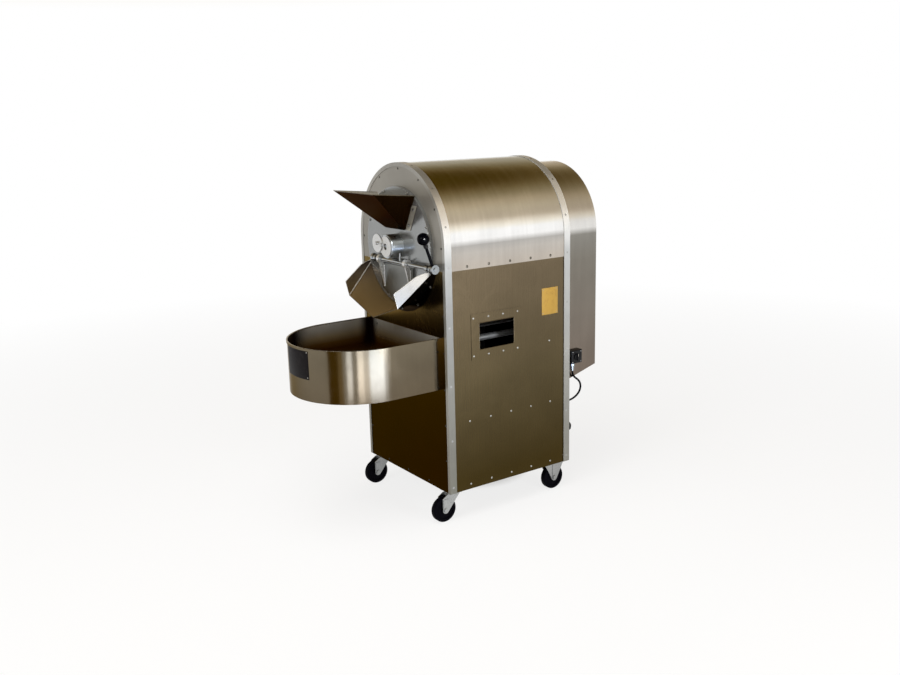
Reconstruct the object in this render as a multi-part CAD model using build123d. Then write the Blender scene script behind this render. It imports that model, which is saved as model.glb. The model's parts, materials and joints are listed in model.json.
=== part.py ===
"""Chickpea roaster on casters: a gas-fired roasting drum in an arched sheet cabinet.

Millimetres, +Z up. X runs across the cabinet, the operator stands on the -Y side, Z = 0 is the floor,
and the origin is on the floor below the middle of the whole machine.
"""
import math
import os

from build123d import *

# Cabinet
CABINET_WIDTH = 600.0
CABINET_DEPTH = 600.0
ARCH_RISE = 939.0            # cabinet's lower edge to the centre of the arch
COVER_SKIRT = 84.0           # straight part of the cover, below the arch's centre
COVER_LAP = 25.0             # cover over the side panels
SHEET = 1.5                  # cover, sides and drive housing
END_SHEET = 2.0              # front and rear sheets
TRIM_THICKNESS = 2.0
TRIM_SIDE_LEG = 30.0
TRIM_FACE_LEG = 15.0

# Frame
ANGLE_LEG = 30.0
ANGLE_WALL = 3.0
FRAME_INSET = 1.0            # frame's underside above the cabinet's lower edge
MID_RAIL_HEIGHT = 289.0      # top of the mid rails above the lower edge
CORNER_PLATE_LENGTH = 92.0
CORNER_PLATE_WIDTH = 110.0
CORNER_PLATE_THICKNESS = 4.0
BEARER_WIDTH = 60.0
BEARER_THICKNESS = 5.0

# Casters
WHEEL_RADIUS = 50.0
WHEEL_WIDTH = 25.0
WHEEL_EDGE = 4.0
WHEEL_DISH = 4.0             # depth of the dish in each side of a wheel
WHEEL_RIM = 12.0             # tread's radial thickness
WHEEL_HUB_RADIUS = 16.0
TRAIL = 38.0                 # swivel axis to axle
AXLE_RADIUS = 6.0
AXLE_HEAD_RADIUS = 9.0
AXLE_HEAD = 3.0
FORK_WALL = 3.0
FORK_SIDE_GAP = 2.0
FORK_FOOT_RADIUS = 14.0
FORK_FRONT_RISE = 47.0       # upright front edge of a leg, above the axle
FORK_RIB = 2.0               # pressed rib on a leg
FORK_RIB_MARGIN = 3.0
CROWN_GAP = 8.0              # top of the wheel to the fork's crown
CROWN_THICKNESS = 4.0
CROWN_RADIUS = 28.0
RACE_RADIUS = 26.0
RACE_HEIGHT = 6.0
CASTER_PLATE_LENGTH = 76.0
CASTER_PLATE_WIDTH = 60.0
FIXED_PLATE_WIDTH = 105.0    # plate of a fixed caster, along the cabinet
CASTER_PLATE_THICKNESS = 3.0
CASTER_EDGE_GAP = 2.0        # caster plate to the inside of the side panel
KING_PIN_RADIUS = 6.0

# Fits
RUNNING_FIT = 0.05           # radial, for what turns
SEAT_FIT = 0.02              # radial, for what is pressed or screwed on
SIDE_GAP = 0.3               # between faces that pass each other

# Drum
DRUM_RADIUS = 210.0
DRUM_WALL = 3.0
DRUM_BACK_PLATE = 4.0
AXIS_DROP = 13.0             # drum axis below the centre of the arch
DRUM_RUNNING_GAP = 4.0       # drum to the edge of the front opening
DRUM_FACE_GAP = 1.5          # drum's mouth to the face disc
DRUM_BACK_GAP = 20.0
SHAFT_RADIUS = 15.0
SHAFT_TAIL = 14.0            # shaft beyond the middle of its sprocket
VANE_COUNT = 4
VANE_HEIGHT = 34.0
VANE_THICKNESS = 3.0
VANE_TWIST = 40.0
VANE_START_ANGLE = 45.0
VANE_END_GAP = 10.0
WELD_GAP = 0.2
SPIDER_SETBACK = 60.0
SPIDER_ARMS = 3
SPIDER_ARM_WIDTH = 30.0
SPIDER_ARM_THICKNESS = 6.0
SPIDER_HUB_RADIUS = 26.0

# Heat jacket round the drum
JACKET_RAIL_GAP = 10.0
JACKET_FOOT_GAP = 10.0       # jacket's lower edge above the burner window
JACKET_BACK_GAP = 16.0
JACKET_FLANGE_GAP = 5.0
SHAFT_HOLE_GAP = 6.0

# Face disc, hub and its swing cover
DISC_LAP = 12.0              # disc over the edge of the front opening
DISC_THICKNESS = 14.0
DISC_EDGE = 2.0
HUB_RADIUS = 46.0
HUB_LENGTH = 50.0
HUB_EDGE = 2.0
BEARING_RADIUS = 31.0
BEARING_WIDTH = 16.0
RACE_GROOVE = 1.0
CAP_RADIUS = 40.0
CAP_THICKNESS = 4.0
GREASE_HOLE_RADIUS = 12.0
SWING_COVER_RADIUS = 35.0
SWING_COVER_THICKNESS = 3.0
SWING_REACH = 28.0           # hub axis to pivot, and pivot to the cover's centre
SWING_ANGLE = 170.0          # side of the hub on which the pivot sits
PIVOT_RADIUS = 4.0
PIVOT_HEAD_RADIUS = 7.0
PIVOT_HEAD = 3.0
BUTTON_RADIUS = 6.0
BUTTON_LENGTH = 9.0

# Rear bearing block
BLOCK_HEIGHT = 42.9          # shaft axis above the block's foot
BLOCK_LENGTH = 165.0
BLOCK_FOOT = 15.0
BLOCK_WIDTH = 44.0
BLOCK_NECK = 96.0
BLOCK_HOUSING_RADIUS = 38.0
BLOCK_HOUSING_WIDTH = 30.0

# Hopper
HOPPER_FOOT = 65.0           # lower edge above the drum axis
HOPPER_FOOT_HALF = 65.0
HOPPER_FOOT_REACH = 10.0
HOPPER_REACH = 184.0
HOPPER_REAR_RISE = 131.0
HOPPER_REAR_HALF = 135.0
HOPPER_FRONT_RISE = 148.0
HOPPER_FRONT_HALF = 150.0
HOPPER_SHEET = 2.0
HOPPER_FLANGE = 34.0
HOPPER_FLANGE_SHARE = 0.72   # part of the seam that the flange follows
FEED_MARGIN = 10.0           # feed opening inside the hopper's seams
FEED_SHARE = 0.62

# Discharge spout
SPOUT_GAP = 4.0              # disc's rim to the spout
SPOUT_SHEET = 2.0
SPOUT_HALF_ANGLE = 70.0
SPOUT_REACH = 134.0
SPOUT_LIP_HALF = 182.0
SPOUT_LIP_DROP = 204.0       # below the drum axis
SPOUT_TIP_DROP = 265.0
SPOUT_FLANGE = 24.0
CHEEK_HEIGHT = 57.0
CHEEK_LEAN = 14.0
CHEEK_SHOULDER_SHARE = 0.40  # shoulder and heel, as shares of the way from the root to the cheek's top
CHEEK_SHOULDER_RISE = 16.0
CHEEK_HEEL_SHARE = 0.19
CHEEK_HEEL_RISE = 12.0

# Receiving pan
PAN_HALF_WIDTH = 260.0
PAN_REACH = 473.0
PAN_DROP = 321.0             # rim below the drum axis
PAN_DEPTH = 197.0
PAN_SHEET = 2.0
PAN_RIM = 3.0
PAN_RIM_HEIGHT = 8.0

# Discharge door, its rod and lever
ROD_RADIUS = 7.0
ROD_HUB_GAP = 5.0
ROD_STANDOFF = 21.0          # rod's axis in front of the disc
ROD_END = 4.0                # rod beyond its outermost collar or boss
STOP_PIN_SIDE = 50.0
STOP_PIN_RADIUS = 4.0
STOP_PIN_LENGTH = 36.0
DOOR_HALF_WIDTH = 115.0
DOOR_BELOW_ROD = 18.0
DOOR_THICKNESS = 6.0
DOOR_EDGE = 4.0              # door's round edge inside the drum's radius
DOOR_LAP = 12.0              # door over the edge of its opening
STRAP_SIDE = 95.0
STRAP_THICKNESS = 6.0
STRAP_TOP = 24.0             # strap meets the door this far below the rod
STRAP_LENGTH = 112.0
STRAP_ROOT_SHARE = 0.7       # strap's front corner, in collar radii before the rod
COLLAR_RADIUS = 16.0
COLLAR_WIDTH = 16.0
BRACKET_SIDE = 128.0         # left bracket, on the disc
BRACKET_CLEARANCE = 6.0      # right bracket beyond the disc's rim
BRACKET_WIDTH = 16.0
BRACKET_RADIUS = 13.0
END_COLLAR_WIDTH = 12.0
LEVER_BOSS_RADIUS = 17.0
LEVER_BOSS_WIDTH = 24.0
LEVER_BRACKET_STEP = 36.0    # lever to the bracket beside it
LEVER_LENGTH = 120.0
LEVER_RADIUS = 5.5
LEVER_LEAN = 19.5            # degrees towards the operator
KNOB_RADIUS = 22.5
KNOB_SOCKET = 12.0

# Burners and gas line
BURNER_HEIGHT = 562.0
BURNER_RADIUS = 12.0
BURNER_PITCH = 195.0
MANIFOLD_RADIUS = 14.0
MANIFOLD_SETBACK = 20.0
WINDOW_FRONT = 150.0
WINDOW_WIDTH = 166.0
WINDOW_HEIGHT = 103.0
WINDOW_DROP = 17.0           # window's sill below the burners' axis
WINDOW_BORDER = 37.0
VALVE_HEIGHT = 130.0
VALVE_INSET = 48.0           # stem inside the side panel
VALVE_RADIUS = 16.0
VALVE_HEAD = 18.0            # valve body beyond its stem
VALVE_TAIL = 75.0
STEM_BOSS_RADIUS = 12.0
STEM_RADIUS = 5.0
LOCKNUT_RADIUS = 18.0
LOCKNUT_THICKNESS = 6.0
INLET_STEP = 55.0            # stem to inlet
NIPPLE_RADIUS = 10.5
NIPPLE_THREAD_RADIUS = 9.0
NIPPLE_LENGTH = 30.0
PIPE_STEP = 28.0             # stem to pipe
PIPE_RADIUS = 7.5
GAS_KNOB_RADIUS = 23.0
GAS_KNOB_LENGTH = 46.0
GAS_KNOB_CROWN = 14.0        # smooth crown beyond the flutes
GAS_KNOB_CROWN_RADIUS = 17.0
GAS_KNOB_CHAMFER = 8.0
GAS_KNOB_FLUTES = 8
GAS_KNOB_FLUTE = 4.0

# Drive behind the rear panel
CHAIN_PITCH = 15.875
CHAIN_LINKS = 64
ROLLER_RADIUS = 5.08
LINK_HALF_HEIGHT = 7.0
LINK_THICKNESS = 1.8
DRUM_TEETH = 30
MOTOR_TEETH = 15
TOOTH_TIP = 4.5
SPROCKET_WIDTH = 9.0
SPROCKET_HUB_WIDTH = 20.0
DRUM_SPROCKET_HUB = 28.0
MOTOR_SPROCKET_HUB = 22.0
SPROCKET_STANDOFF = 40.0
GEARBOX_STEP = 27.0          # middle of the sprockets to the gearbox
GEARBOX_WIDTH = 116.0
GEARBOX_HEIGHT = 120.0
GEARBOX_DEPTH = 80.0
GEARBOX_EDGE = 10.0
MOTOR_RADIUS = 55.0
MOTOR_LENGTH = 150.0
MOTOR_NECK_RADIUS = 48.0
MOTOR_NECK = 12.0
OUTPUT_RADIUS = 12.5
OUTPUT_TAIL = 60.0           # output shaft inside the gearbox
BRACKET_BASE = 4.0
BRACKET_ARM = 5.0
BRACKET_ARM_RISE = 30.0
BRACKET_ARM_DROP = 55.0
BRACKET_FOOT = 25.0
HOUSING_INSET = 30.0
HOUSING_ROOM = 8.0
HOUSING_RISE = 48.0
VENT_COUNT = 6
VENT_LENGTH = 120.0
VENT_WIDTH = 5.0
VENT_PITCH = 14.0

# Switch, glands and the short lead between them
SWITCH_SETBACK = 23.0
SWITCH_WIDTH = 56.0
SWITCH_HEIGHT = 55.0
SWITCH_DEPTH = 18.0
SWITCH_EDGE = 3.0
SWITCH_RISE = 72.0
SWITCH_KNOB_RADIUS = 14.0
SWITCH_KNOB_LENGTH = 10.0
SWITCH_KNOB_BASE = 4.0
SWITCH_GRIP = 7.0
SWITCH_STEM_RADIUS = 4.0
SWITCH_STEM_LENGTH = 8.0
GLAND_NUT_RADIUS = 9.5
GLAND_NUT_LENGTH = 8.0
GLAND_RADIUS = 7.5
GLAND_LENGTH = 31.0
GLAND_SETBACK = 10.0         # upper gland behind the switch box's front edge
REAR_GLAND_INSET = 33.0
REAR_GLAND_HEIGHT = 245.0
CORD_RADIUS = 4.0
BEND_SHARE = 0.45            # part of a run that a bend at its end may use
CORD_ROUTE = [
    (279.8, 485.5, 494.09),
    (279.8, 485.5, 474.0),
    (277.5, 528.0, 445.0),
    (273.0, 540.0, 414.0),
    (267.0, 531.0, 385.0),
    (262.0, 500.0, 365.3),
    (262.0, 481.5, 365.3),
]

# Heights and planes worked out from the sizes above
CASTER_TOP = (2 * WHEEL_RADIUS + CROWN_GAP + CROWN_THICKNESS + SIDE_GAP + RACE_HEIGHT
              + CASTER_PLATE_THICKNESS)
BASE_Z = CASTER_TOP - FRAME_INSET
ARCH_Z = BASE_Z + ARCH_RISE
AXIS_Z = ARCH_Z - AXIS_DROP
COVER_EDGE_Z = ARCH_Z - COVER_SKIRT
RAIL_TOP_Z = COVER_EDGE_Z + COVER_LAP
BURNER_Z = BASE_Z + BURNER_HEIGHT
WINDOW_SILL_Z = BURNER_Z - WINDOW_DROP
WINDOW_TOP_Z = WINDOW_SILL_Z + WINDOW_HEIGHT
VALVE_Z = BASE_Z + VALVE_HEIGHT
PAN_RIM_Z = AXIS_Z - PAN_DROP
PAN_FLOOR_Z = PAN_RIM_Z - PAN_DEPTH

HALF_WIDTH = CABINET_WIDTH / 2
COVER_X = HALF_WIDTH - TRIM_THICKNESS
PANEL_X = COVER_X - SHEET
INNER_X = PANEL_X - SHEET
VALVE_SIDE = INNER_X - VALVE_INSET
REAR_GLAND_SIDE = INNER_X - REAR_GLAND_INSET

HOUSING_DEPTH = (SPROCKET_STANDOFF + GEARBOX_STEP + GEARBOX_DEPTH / 2 + MOTOR_RADIUS + HOUSING_ROOM
                 - TRIM_THICKNESS)
FRONT_Y = (PAN_REACH - CABINET_DEPTH - HOUSING_DEPTH) / 2
REAR_Y = FRONT_Y + CABINET_DEPTH
HOUSING_BACK_Y = REAR_Y + HOUSING_DEPTH
PAN_FRONT_Y = FRONT_Y - PAN_REACH
FRONT_FACE_Y = FRONT_Y + TRIM_THICKNESS
FRONT_INNER_Y = FRONT_FACE_Y + END_SHEET
REAR_FACE_Y = REAR_Y - TRIM_THICKNESS
REAR_INNER_Y = REAR_FACE_Y - END_SHEET
BEARER_FRONT_Y = REAR_INNER_Y - BEARER_WIDTH
JACKET_BACK_Y = BEARER_FRONT_Y - JACKET_BACK_GAP
DISC_FACE_Y = FRONT_FACE_Y - DISC_THICKNESS
HUB_FACE_Y = DISC_FACE_Y - HUB_LENGTH
CAP_FACE_Y = HUB_FACE_Y - CAP_THICKNESS
DRUM_FRONT_Y = FRONT_FACE_Y + DRUM_FACE_GAP
DRUM_BACK_Y = JACKET_BACK_Y - SHEET - DRUM_BACK_GAP
SPROCKET_Y = REAR_FACE_Y + SPROCKET_STANDOFF
GEARBOX_FRONT_Y = SPROCKET_Y + GEARBOX_STEP
GEARBOX_MID_Y = GEARBOX_FRONT_Y + GEARBOX_DEPTH / 2
MANIFOLD_Y = REAR_INNER_Y - MANIFOLD_SETBACK

OPENING_RADIUS = DRUM_RADIUS + DRUM_RUNNING_GAP
DISC_RADIUS = OPENING_RADIUS + DISC_LAP
JACKET_X = INNER_X - ANGLE_LEG - JACKET_RAIL_GAP

ROD_Y = DISC_FACE_Y - ROD_STANDOFF
ROD_Z = AXIS_Z - HUB_RADIUS - ROD_RADIUS - ROD_HUB_GAP
DOOR_BACK_Y = DISC_FACE_Y - SIDE_GAP
DOOR_FACE_Y = DOOR_BACK_Y - DOOR_THICKNESS
RIGHT_BRACKET_X = DISC_RADIUS + BRACKET_CLEARANCE + BRACKET_WIDTH / 2
LEVER_X = RIGHT_BRACKET_X + LEVER_BRACKET_STEP

PIVOT_X = SWING_REACH * math.cos(math.radians(SWING_ANGLE))
PIVOT_Z = AXIS_Z + SWING_REACH * math.sin(math.radians(SWING_ANGLE))
SWING_FACE_Y = CAP_FACE_Y - SIDE_GAP - SWING_COVER_THICKNESS

DRUM_PITCH_RADIUS = CHAIN_PITCH / (2 * math.sin(math.pi / DRUM_TEETH))
MOTOR_PITCH_RADIUS = CHAIN_PITCH / (2 * math.sin(math.pi / MOTOR_TEETH))
STRAIGHT_LINKS = CHAIN_LINKS - (DRUM_TEETH + MOTOR_TEETH) / 2
TEETH_TERM = ((DRUM_TEETH - MOTOR_TEETH) / (2 * math.pi)) ** 2
CENTRE_DISTANCE = CHAIN_PITCH * (STRAIGHT_LINKS + math.sqrt(STRAIGHT_LINKS ** 2 - 8 * TEETH_TERM)) / 4
GEAR_Z = AXIS_Z - CENTRE_DISTANCE
MOTOR_END_Z = GEAR_Z - GEARBOX_HEIGHT / 2 - MOTOR_LENGTH
HOUSING_X = HALF_WIDTH - HOUSING_INSET
HOUSING_FOOT_Z = MOTOR_END_Z - HOUSING_RISE - HOUSING_ROOM
SWITCH_FRONT_Y = REAR_Y + SWITCH_SETBACK
SWITCH_FOOT_Z = HOUSING_FOOT_Z + SWITCH_RISE
SWITCH_FACE_X = HOUSING_X + SWITCH_DEPTH
SWITCH_MID_Y = SWITCH_FRONT_Y + SWITCH_WIDTH / 2
SWITCH_MID_Z = SWITCH_FOOT_Z + SWITCH_HEIGHT / 2


# Helpers
def rect(low_u, high_u, low_v, high_v):
    """Rectangle between two corners of a sketch."""
    return Pos((low_u + high_u) / 2, (low_v + high_v) / 2) * Rectangle(high_u - low_u, high_v - low_v)


def disc(radius, u=0.0, v=0.0):
    """Circle about a point of a sketch."""
    return Pos(u, v) * Circle(radius)


def slab_x(sketch, low, high):
    """A sketch in Y and Z, made solid between two X planes."""
    return extrude(Plane.YZ.offset(low) * sketch, amount=high - low)


def slab_y(sketch, low, high):
    """A sketch in X and Z, made solid between two Y planes."""
    return extrude(Plane.XZ.offset(-high) * sketch, amount=high - low)


def slab_z(sketch, low, high):
    """A sketch in X and Y, made solid between two Z planes."""
    return extrude(Plane.XY.offset(low) * sketch, amount=high - low)


def both_sides(shape):
    """A shape and its mirror image across the middle of the machine, as one."""
    return shape + mirror(shape, about=Plane.YZ)


def arch(half_width, foot, centre):
    """Upright with a half-round top: the outline of the cabinet, seen from the front."""
    legs = Polyline((-half_width, centre), (-half_width, foot), (half_width, foot), (half_width, centre))
    crown = ThreePointArc((half_width, centre), (0, centre + half_width), (-half_width, centre))
    return make_face(legs + crown)


def arch_strip(outer, inner, foot, centre):
    """The band between two such outlines, open at the foot."""
    return arch(outer, foot, centre) - arch(inner, foot - outer, centre)


def angle_section(u, v, side_u, side_v):
    """Section of an angle bar with its outer corner at a point and its legs towards the given sides."""
    corners = [(0, 0), (ANGLE_LEG, 0), (ANGLE_LEG, ANGLE_WALL), (ANGLE_WALL, ANGLE_WALL),
               (ANGLE_WALL, ANGLE_LEG), (0, ANGLE_LEG)]
    return make_face(Polyline(*[(u + side_u * a, v + side_v * b) for a, b in corners], close=True))


def ring_sector(outer, inner, start, sweep):
    """Part of a ring about the drum axis, between two angles in degrees."""
    centre = (0, AXIS_Z)
    far = CenterArc(centre, outer, start, sweep)
    near = CenterArc(centre, inner, start, sweep)
    return make_face(far + near + Line(far @ 0, near @ 0) + Line(far @ 1, near @ 1))


# Frame and casing
def frame():
    """Welded angle frame with corner plates for the casters and a channel for the rear bearing."""
    foot = BASE_Z + FRAME_INSET
    parts = []
    for wall_y, inward in ((FRONT_INNER_Y, 1), (REAR_INNER_Y, -1)):
        post = slab_z(angle_section(INNER_X, wall_y, -1, inward), foot, RAIL_TOP_Z)
        parts.append(both_sides(post))
        parts.append(slab_x(angle_section(wall_y, foot, inward, 1), -INNER_X, INNER_X))
        plate_y = sorted((wall_y, wall_y + inward * CORNER_PLATE_WIDTH))
        plate = rect(INNER_X - CORNER_PLATE_LENGTH, INNER_X, *plate_y)
        parts.append(both_sides(slab_z(plate, foot, foot + CORNER_PLATE_THICKNESS)))
    for corner_z, turn in ((foot, 1), (BASE_Z + MID_RAIL_HEIGHT, -1), (RAIL_TOP_Z, -1)):
        rail = slab_y(angle_section(INNER_X, corner_z, -1, turn), FRONT_INNER_Y, REAR_INNER_Y)
        parts.append(both_sides(rail))
    parts.append(slab_x(angle_section(FRONT_INNER_Y, BURNER_Z - BURNER_RADIUS, 1, -1), -INNER_X, INNER_X))
    top = AXIS_Z - BLOCK_HEIGHT
    outside = rect(BEARER_FRONT_Y, REAR_INNER_Y, top - ANGLE_LEG, top)
    inside = rect(BEARER_FRONT_Y + BEARER_THICKNESS, REAR_INNER_Y - BEARER_THICKNESS,
                  top - 2 * ANGLE_LEG, top - BEARER_THICKNESS)
    parts.append(slab_x(outside - inside, -INNER_X, INNER_X))
    welded = parts[0]
    for piece in parts[1:]:
        welded += piece
    return welded


def front_panel():
    """Lower front sheet, cut out round the mouth of the drum."""
    sheet = rect(-INNER_X, INNER_X, BASE_Z, COVER_EDGE_Z) - disc(OPENING_RADIUS, 0, AXIS_Z)
    return slab_y(sheet, FRONT_FACE_Y, FRONT_INNER_Y)


def front_plate():
    """Arched upper front sheet, cut out round the mouth of the drum."""
    sheet = arch(INNER_X, COVER_EDGE_Z, ARCH_Z) - disc(OPENING_RADIUS, 0, AXIS_Z)
    return slab_y(sheet, FRONT_FACE_Y, FRONT_INNER_Y)


def side_sheet():
    """Outline of a side panel."""
    return rect(FRONT_FACE_Y, REAR_FACE_Y, BASE_Z, RAIL_TOP_Z)


def window_outline(border=0.0):
    """Burner window in the right side panel, or its frame plate with a border."""
    front = FRONT_Y + WINDOW_FRONT
    return rect(front - border, front + WINDOW_WIDTH + border, WINDOW_SILL_Z - border, WINDOW_TOP_Z + border)


def left_side_panel():
    """Left side sheet."""
    return slab_x(side_sheet(), -PANEL_X, -INNER_X)


def right_side_panel():
    """Right side sheet with the burner window."""
    return slab_x(side_sheet() - window_outline(), INNER_X, PANEL_X)


def window_frame():
    """Plate riveted round the burner window."""
    return slab_x(window_outline(WINDOW_BORDER) - window_outline(), PANEL_X, PANEL_X + SHEET)


def arch_cover():
    """Sheet rolled over the top, lapping over both side panels."""
    return slab_y(arch_strip(COVER_X, PANEL_X, COVER_EDGE_Z, ARCH_Z), FRONT_FACE_Y, REAR_FACE_Y)


def edge_trim(face_y, inward):
    """Aluminium angle bent round one end of the cabinet."""
    side = sorted((face_y, face_y + inward * TRIM_SIDE_LEG))
    face = sorted((face_y, face_y + inward * TRIM_THICKNESS))
    side_leg = slab_y(arch_strip(HALF_WIDTH, COVER_X, BASE_Z, ARCH_Z), *side)
    face_leg = slab_y(arch_strip(HALF_WIDTH, HALF_WIDTH - TRIM_FACE_LEG, BASE_Z, ARCH_Z), *face)
    return side_leg + face_leg


def rear_panel():
    """Arched rear sheet with holes for the drum shaft, the valve stem and the gas inlet."""
    sheet = arch(INNER_X, BASE_Z, ARCH_Z)
    sheet -= disc(SHAFT_RADIUS + SHAFT_HOLE_GAP, 0, AXIS_Z)
    sheet -= disc(STEM_BOSS_RADIUS + SEAT_FIT, VALVE_SIDE, VALVE_Z)
    sheet -= disc(NIPPLE_THREAD_RADIUS + SEAT_FIT, VALVE_SIDE - INLET_STEP, VALVE_Z)
    return slab_y(sheet, REAR_INNER_Y, REAR_FACE_Y)


def drum_jacket():
    """Inner arch that keeps the hot gas round the drum, hung on the top rails."""
    foot = WINDOW_TOP_Z + JACKET_FOOT_GAP
    shell = slab_y(arch_strip(JACKET_X, JACKET_X - SHEET, foot, AXIS_Z), FRONT_INNER_Y, JACKET_BACK_Y)
    back = arch(JACKET_X, foot, AXIS_Z) - disc(SHAFT_RADIUS + SHAFT_HOLE_GAP, 0, AXIS_Z)
    shell += slab_y(back, JACKET_BACK_Y - SHEET, JACKET_BACK_Y)
    flange = rect(JACKET_X - SHEET, INNER_X - JACKET_FLANGE_GAP, RAIL_TOP_Z, RAIL_TOP_Z + SHEET)
    return shell + both_sides(slab_y(flange, FRONT_INNER_Y, JACKET_BACK_Y))


# Drum
def drum_shell():
    """Open-fronted drum with a flat back."""
    inner = DRUM_RADIUS - DRUM_WALL
    wall = slab_y(disc(DRUM_RADIUS, 0, AXIS_Z) - disc(inner, 0, AXIS_Z), DRUM_FRONT_Y, DRUM_BACK_Y)
    back = disc(inner, 0, AXIS_Z) - disc(SHAFT_RADIUS + SEAT_FIT, 0, AXIS_Z)
    return wall + slab_y(back, DRUM_BACK_Y - DRUM_BACK_PLATE, DRUM_BACK_Y)


def drum_shaft():
    """Shaft from the hub bearing through the drum to its sprocket."""
    return slab_y(disc(SHAFT_RADIUS, 0, AXIS_Z), HUB_FACE_Y + RACE_GROOVE, SPROCKET_Y + SHAFT_TAIL)


def drum_spider():
    """Hub and arms that centre the drum's mouth on the shaft."""
    middle = DRUM_FRONT_Y + SPIDER_SETBACK
    low, high = middle - SPIDER_ARM_WIDTH / 2, middle + SPIDER_ARM_WIDTH / 2
    tip = DRUM_RADIUS - DRUM_WALL - WELD_GAP
    arm = rect(SHAFT_RADIUS, tip, -SPIDER_ARM_THICKNESS / 2, SPIDER_ARM_THICKNESS / 2)
    wheel = Circle(SPIDER_HUB_RADIUS)
    for index in range(SPIDER_ARMS):
        wheel += Rot(0, 0, 90 + index * 360 / SPIDER_ARMS) * arm
    wheel -= Circle(SHAFT_RADIUS + SEAT_FIT)
    return slab_y(Pos(0, AXIS_Z) * wheel, low, high)


def drum_vanes():
    """Twisted flights along the drum's wall, which turn the load and bring it to the front."""
    start = DRUM_FRONT_Y + VANE_END_GAP
    length = DRUM_BACK_Y - DRUM_BACK_PLATE - VANE_END_GAP - start
    outer = DRUM_RADIUS - DRUM_WALL - WELD_GAP
    section = Pos(outer - VANE_HEIGHT / 2, 0) * Rectangle(VANE_HEIGHT, VANE_THICKNESS)
    vanes = []
    for index in range(VANE_COUNT):
        turn = math.radians(VANE_START_ANGLE + index * 360 / VANE_COUNT)
        across = (math.cos(turn), 0, math.sin(turn))
        face = (Plane((0, start, AXIS_Z), x_dir=across, z_dir=(0, 1, 0)) * section).face()
        vanes.append(Solid.extrude_linear_with_rotation(face, (0, start, AXIS_Z), (0, length, 0), VANE_TWIST))
    return Compound(children=vanes)


# Face disc, hub and bearings
def hopper_corner(share):
    """Point on the hopper's rear seam, at a share of its length from the foot."""
    side = HOPPER_FOOT_HALF + share * (HOPPER_REAR_HALF - HOPPER_FOOT_HALF)
    return side, AXIS_Z + HOPPER_FOOT + share * HOPPER_REAR_RISE


def feed_outline():
    """Opening in the disc behind the hopper."""
    low_x, low_z = hopper_corner(0)
    high_x, high_z = hopper_corner(FEED_SHARE)
    low = (low_x - FEED_MARGIN, low_z + FEED_MARGIN)
    high = (high_x - FEED_MARGIN, high_z)
    return make_face(Polyline(low, high, (-high[0], high[1]), (-low[0], low[1]), close=True))


def door_outline(inset):
    """Door with a round lower edge, or the opening behind it when inset."""
    top = ROD_Z - DOOR_BELOW_ROD - inset
    half = DOOR_HALF_WIDTH - inset
    radius = DRUM_RADIUS - DOOR_EDGE - inset
    return rect(-half, half, AXIS_Z - DRUM_RADIUS, top) & disc(radius, 0, AXIS_Z)


def face_disc():
    """Stationary disc that closes the drum's mouth, with feed and discharge openings."""
    plate = slab_y(disc(DISC_RADIUS, 0, AXIS_Z), DISC_FACE_Y, FRONT_FACE_Y)
    plate = fillet(plate.edges().sort_by(Axis.Y)[0], DISC_EDGE)
    cuts = feed_outline() + door_outline(DOOR_LAP) + disc(SHAFT_RADIUS + SHAFT_HOLE_GAP, 0, AXIS_Z)
    return plate - slab_y(cuts, DISC_FACE_Y - DISC_THICKNESS, FRONT_FACE_Y + DISC_THICKNESS)


def hub_housing():
    """Polished housing of the front bearing, on the face disc."""
    body = slab_y(disc(HUB_RADIUS, 0, AXIS_Z), HUB_FACE_Y, DISC_FACE_Y)
    body = chamfer(body.edges().sort_by(Axis.Y)[0], HUB_EDGE)
    body -= slab_y(disc(SHAFT_RADIUS + SHAFT_HOLE_GAP, 0, AXIS_Z), HUB_FACE_Y, DISC_FACE_Y)
    seat = disc(BEARING_RADIUS + SEAT_FIT, 0, AXIS_Z)
    return body - slab_y(seat, HUB_FACE_Y, HUB_FACE_Y + BEARING_WIDTH)


def front_bearing():
    """Ball bearing in the hub, with a groove between its races on each face."""
    bore = SHAFT_RADIUS + RUNNING_FIT
    ring = disc(BEARING_RADIUS, 0, AXIS_Z) - disc(bore, 0, AXIS_Z)
    third = (BEARING_RADIUS - bore) / 3
    groove = disc(BEARING_RADIUS - third, 0, AXIS_Z) - disc(bore + third, 0, AXIS_Z)
    low, high = HUB_FACE_Y, HUB_FACE_Y + BEARING_WIDTH
    body = slab_y(ring, low, high) - slab_y(groove, low, low + RACE_GROOVE)
    return body - slab_y(groove, high - RACE_GROOVE, high)


def hub_cap():
    """Cap on the hub with a grease hole and the headed pivot of the swing cover."""
    plate = disc(CAP_RADIUS, 0, AXIS_Z) - disc(GREASE_HOLE_RADIUS, 0, AXIS_Z)
    head_y = SWING_FACE_Y - SIDE_GAP
    pivot = slab_y(disc(PIVOT_RADIUS, PIVOT_X, PIVOT_Z), head_y, CAP_FACE_Y)
    head = slab_y(disc(PIVOT_HEAD_RADIUS, PIVOT_X, PIVOT_Z), head_y - PIVOT_HEAD, head_y)
    return slab_y(plate, CAP_FACE_Y, HUB_FACE_Y) + pivot + head


def swing_cover():
    """Round lid that swings over the grease hole, with a finger button."""
    centre = (2 * PIVOT_X, 2 * PIVOT_Z - AXIS_Z)
    lid = disc(SWING_COVER_RADIUS, *centre) - disc(PIVOT_RADIUS + RUNNING_FIT, PIVOT_X, PIVOT_Z)
    back = CAP_FACE_Y - SIDE_GAP
    button = slab_y(disc(BUTTON_RADIUS, *centre), SWING_FACE_Y - BUTTON_LENGTH, back)
    return slab_y(lid, SWING_FACE_Y, back) + button


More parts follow.
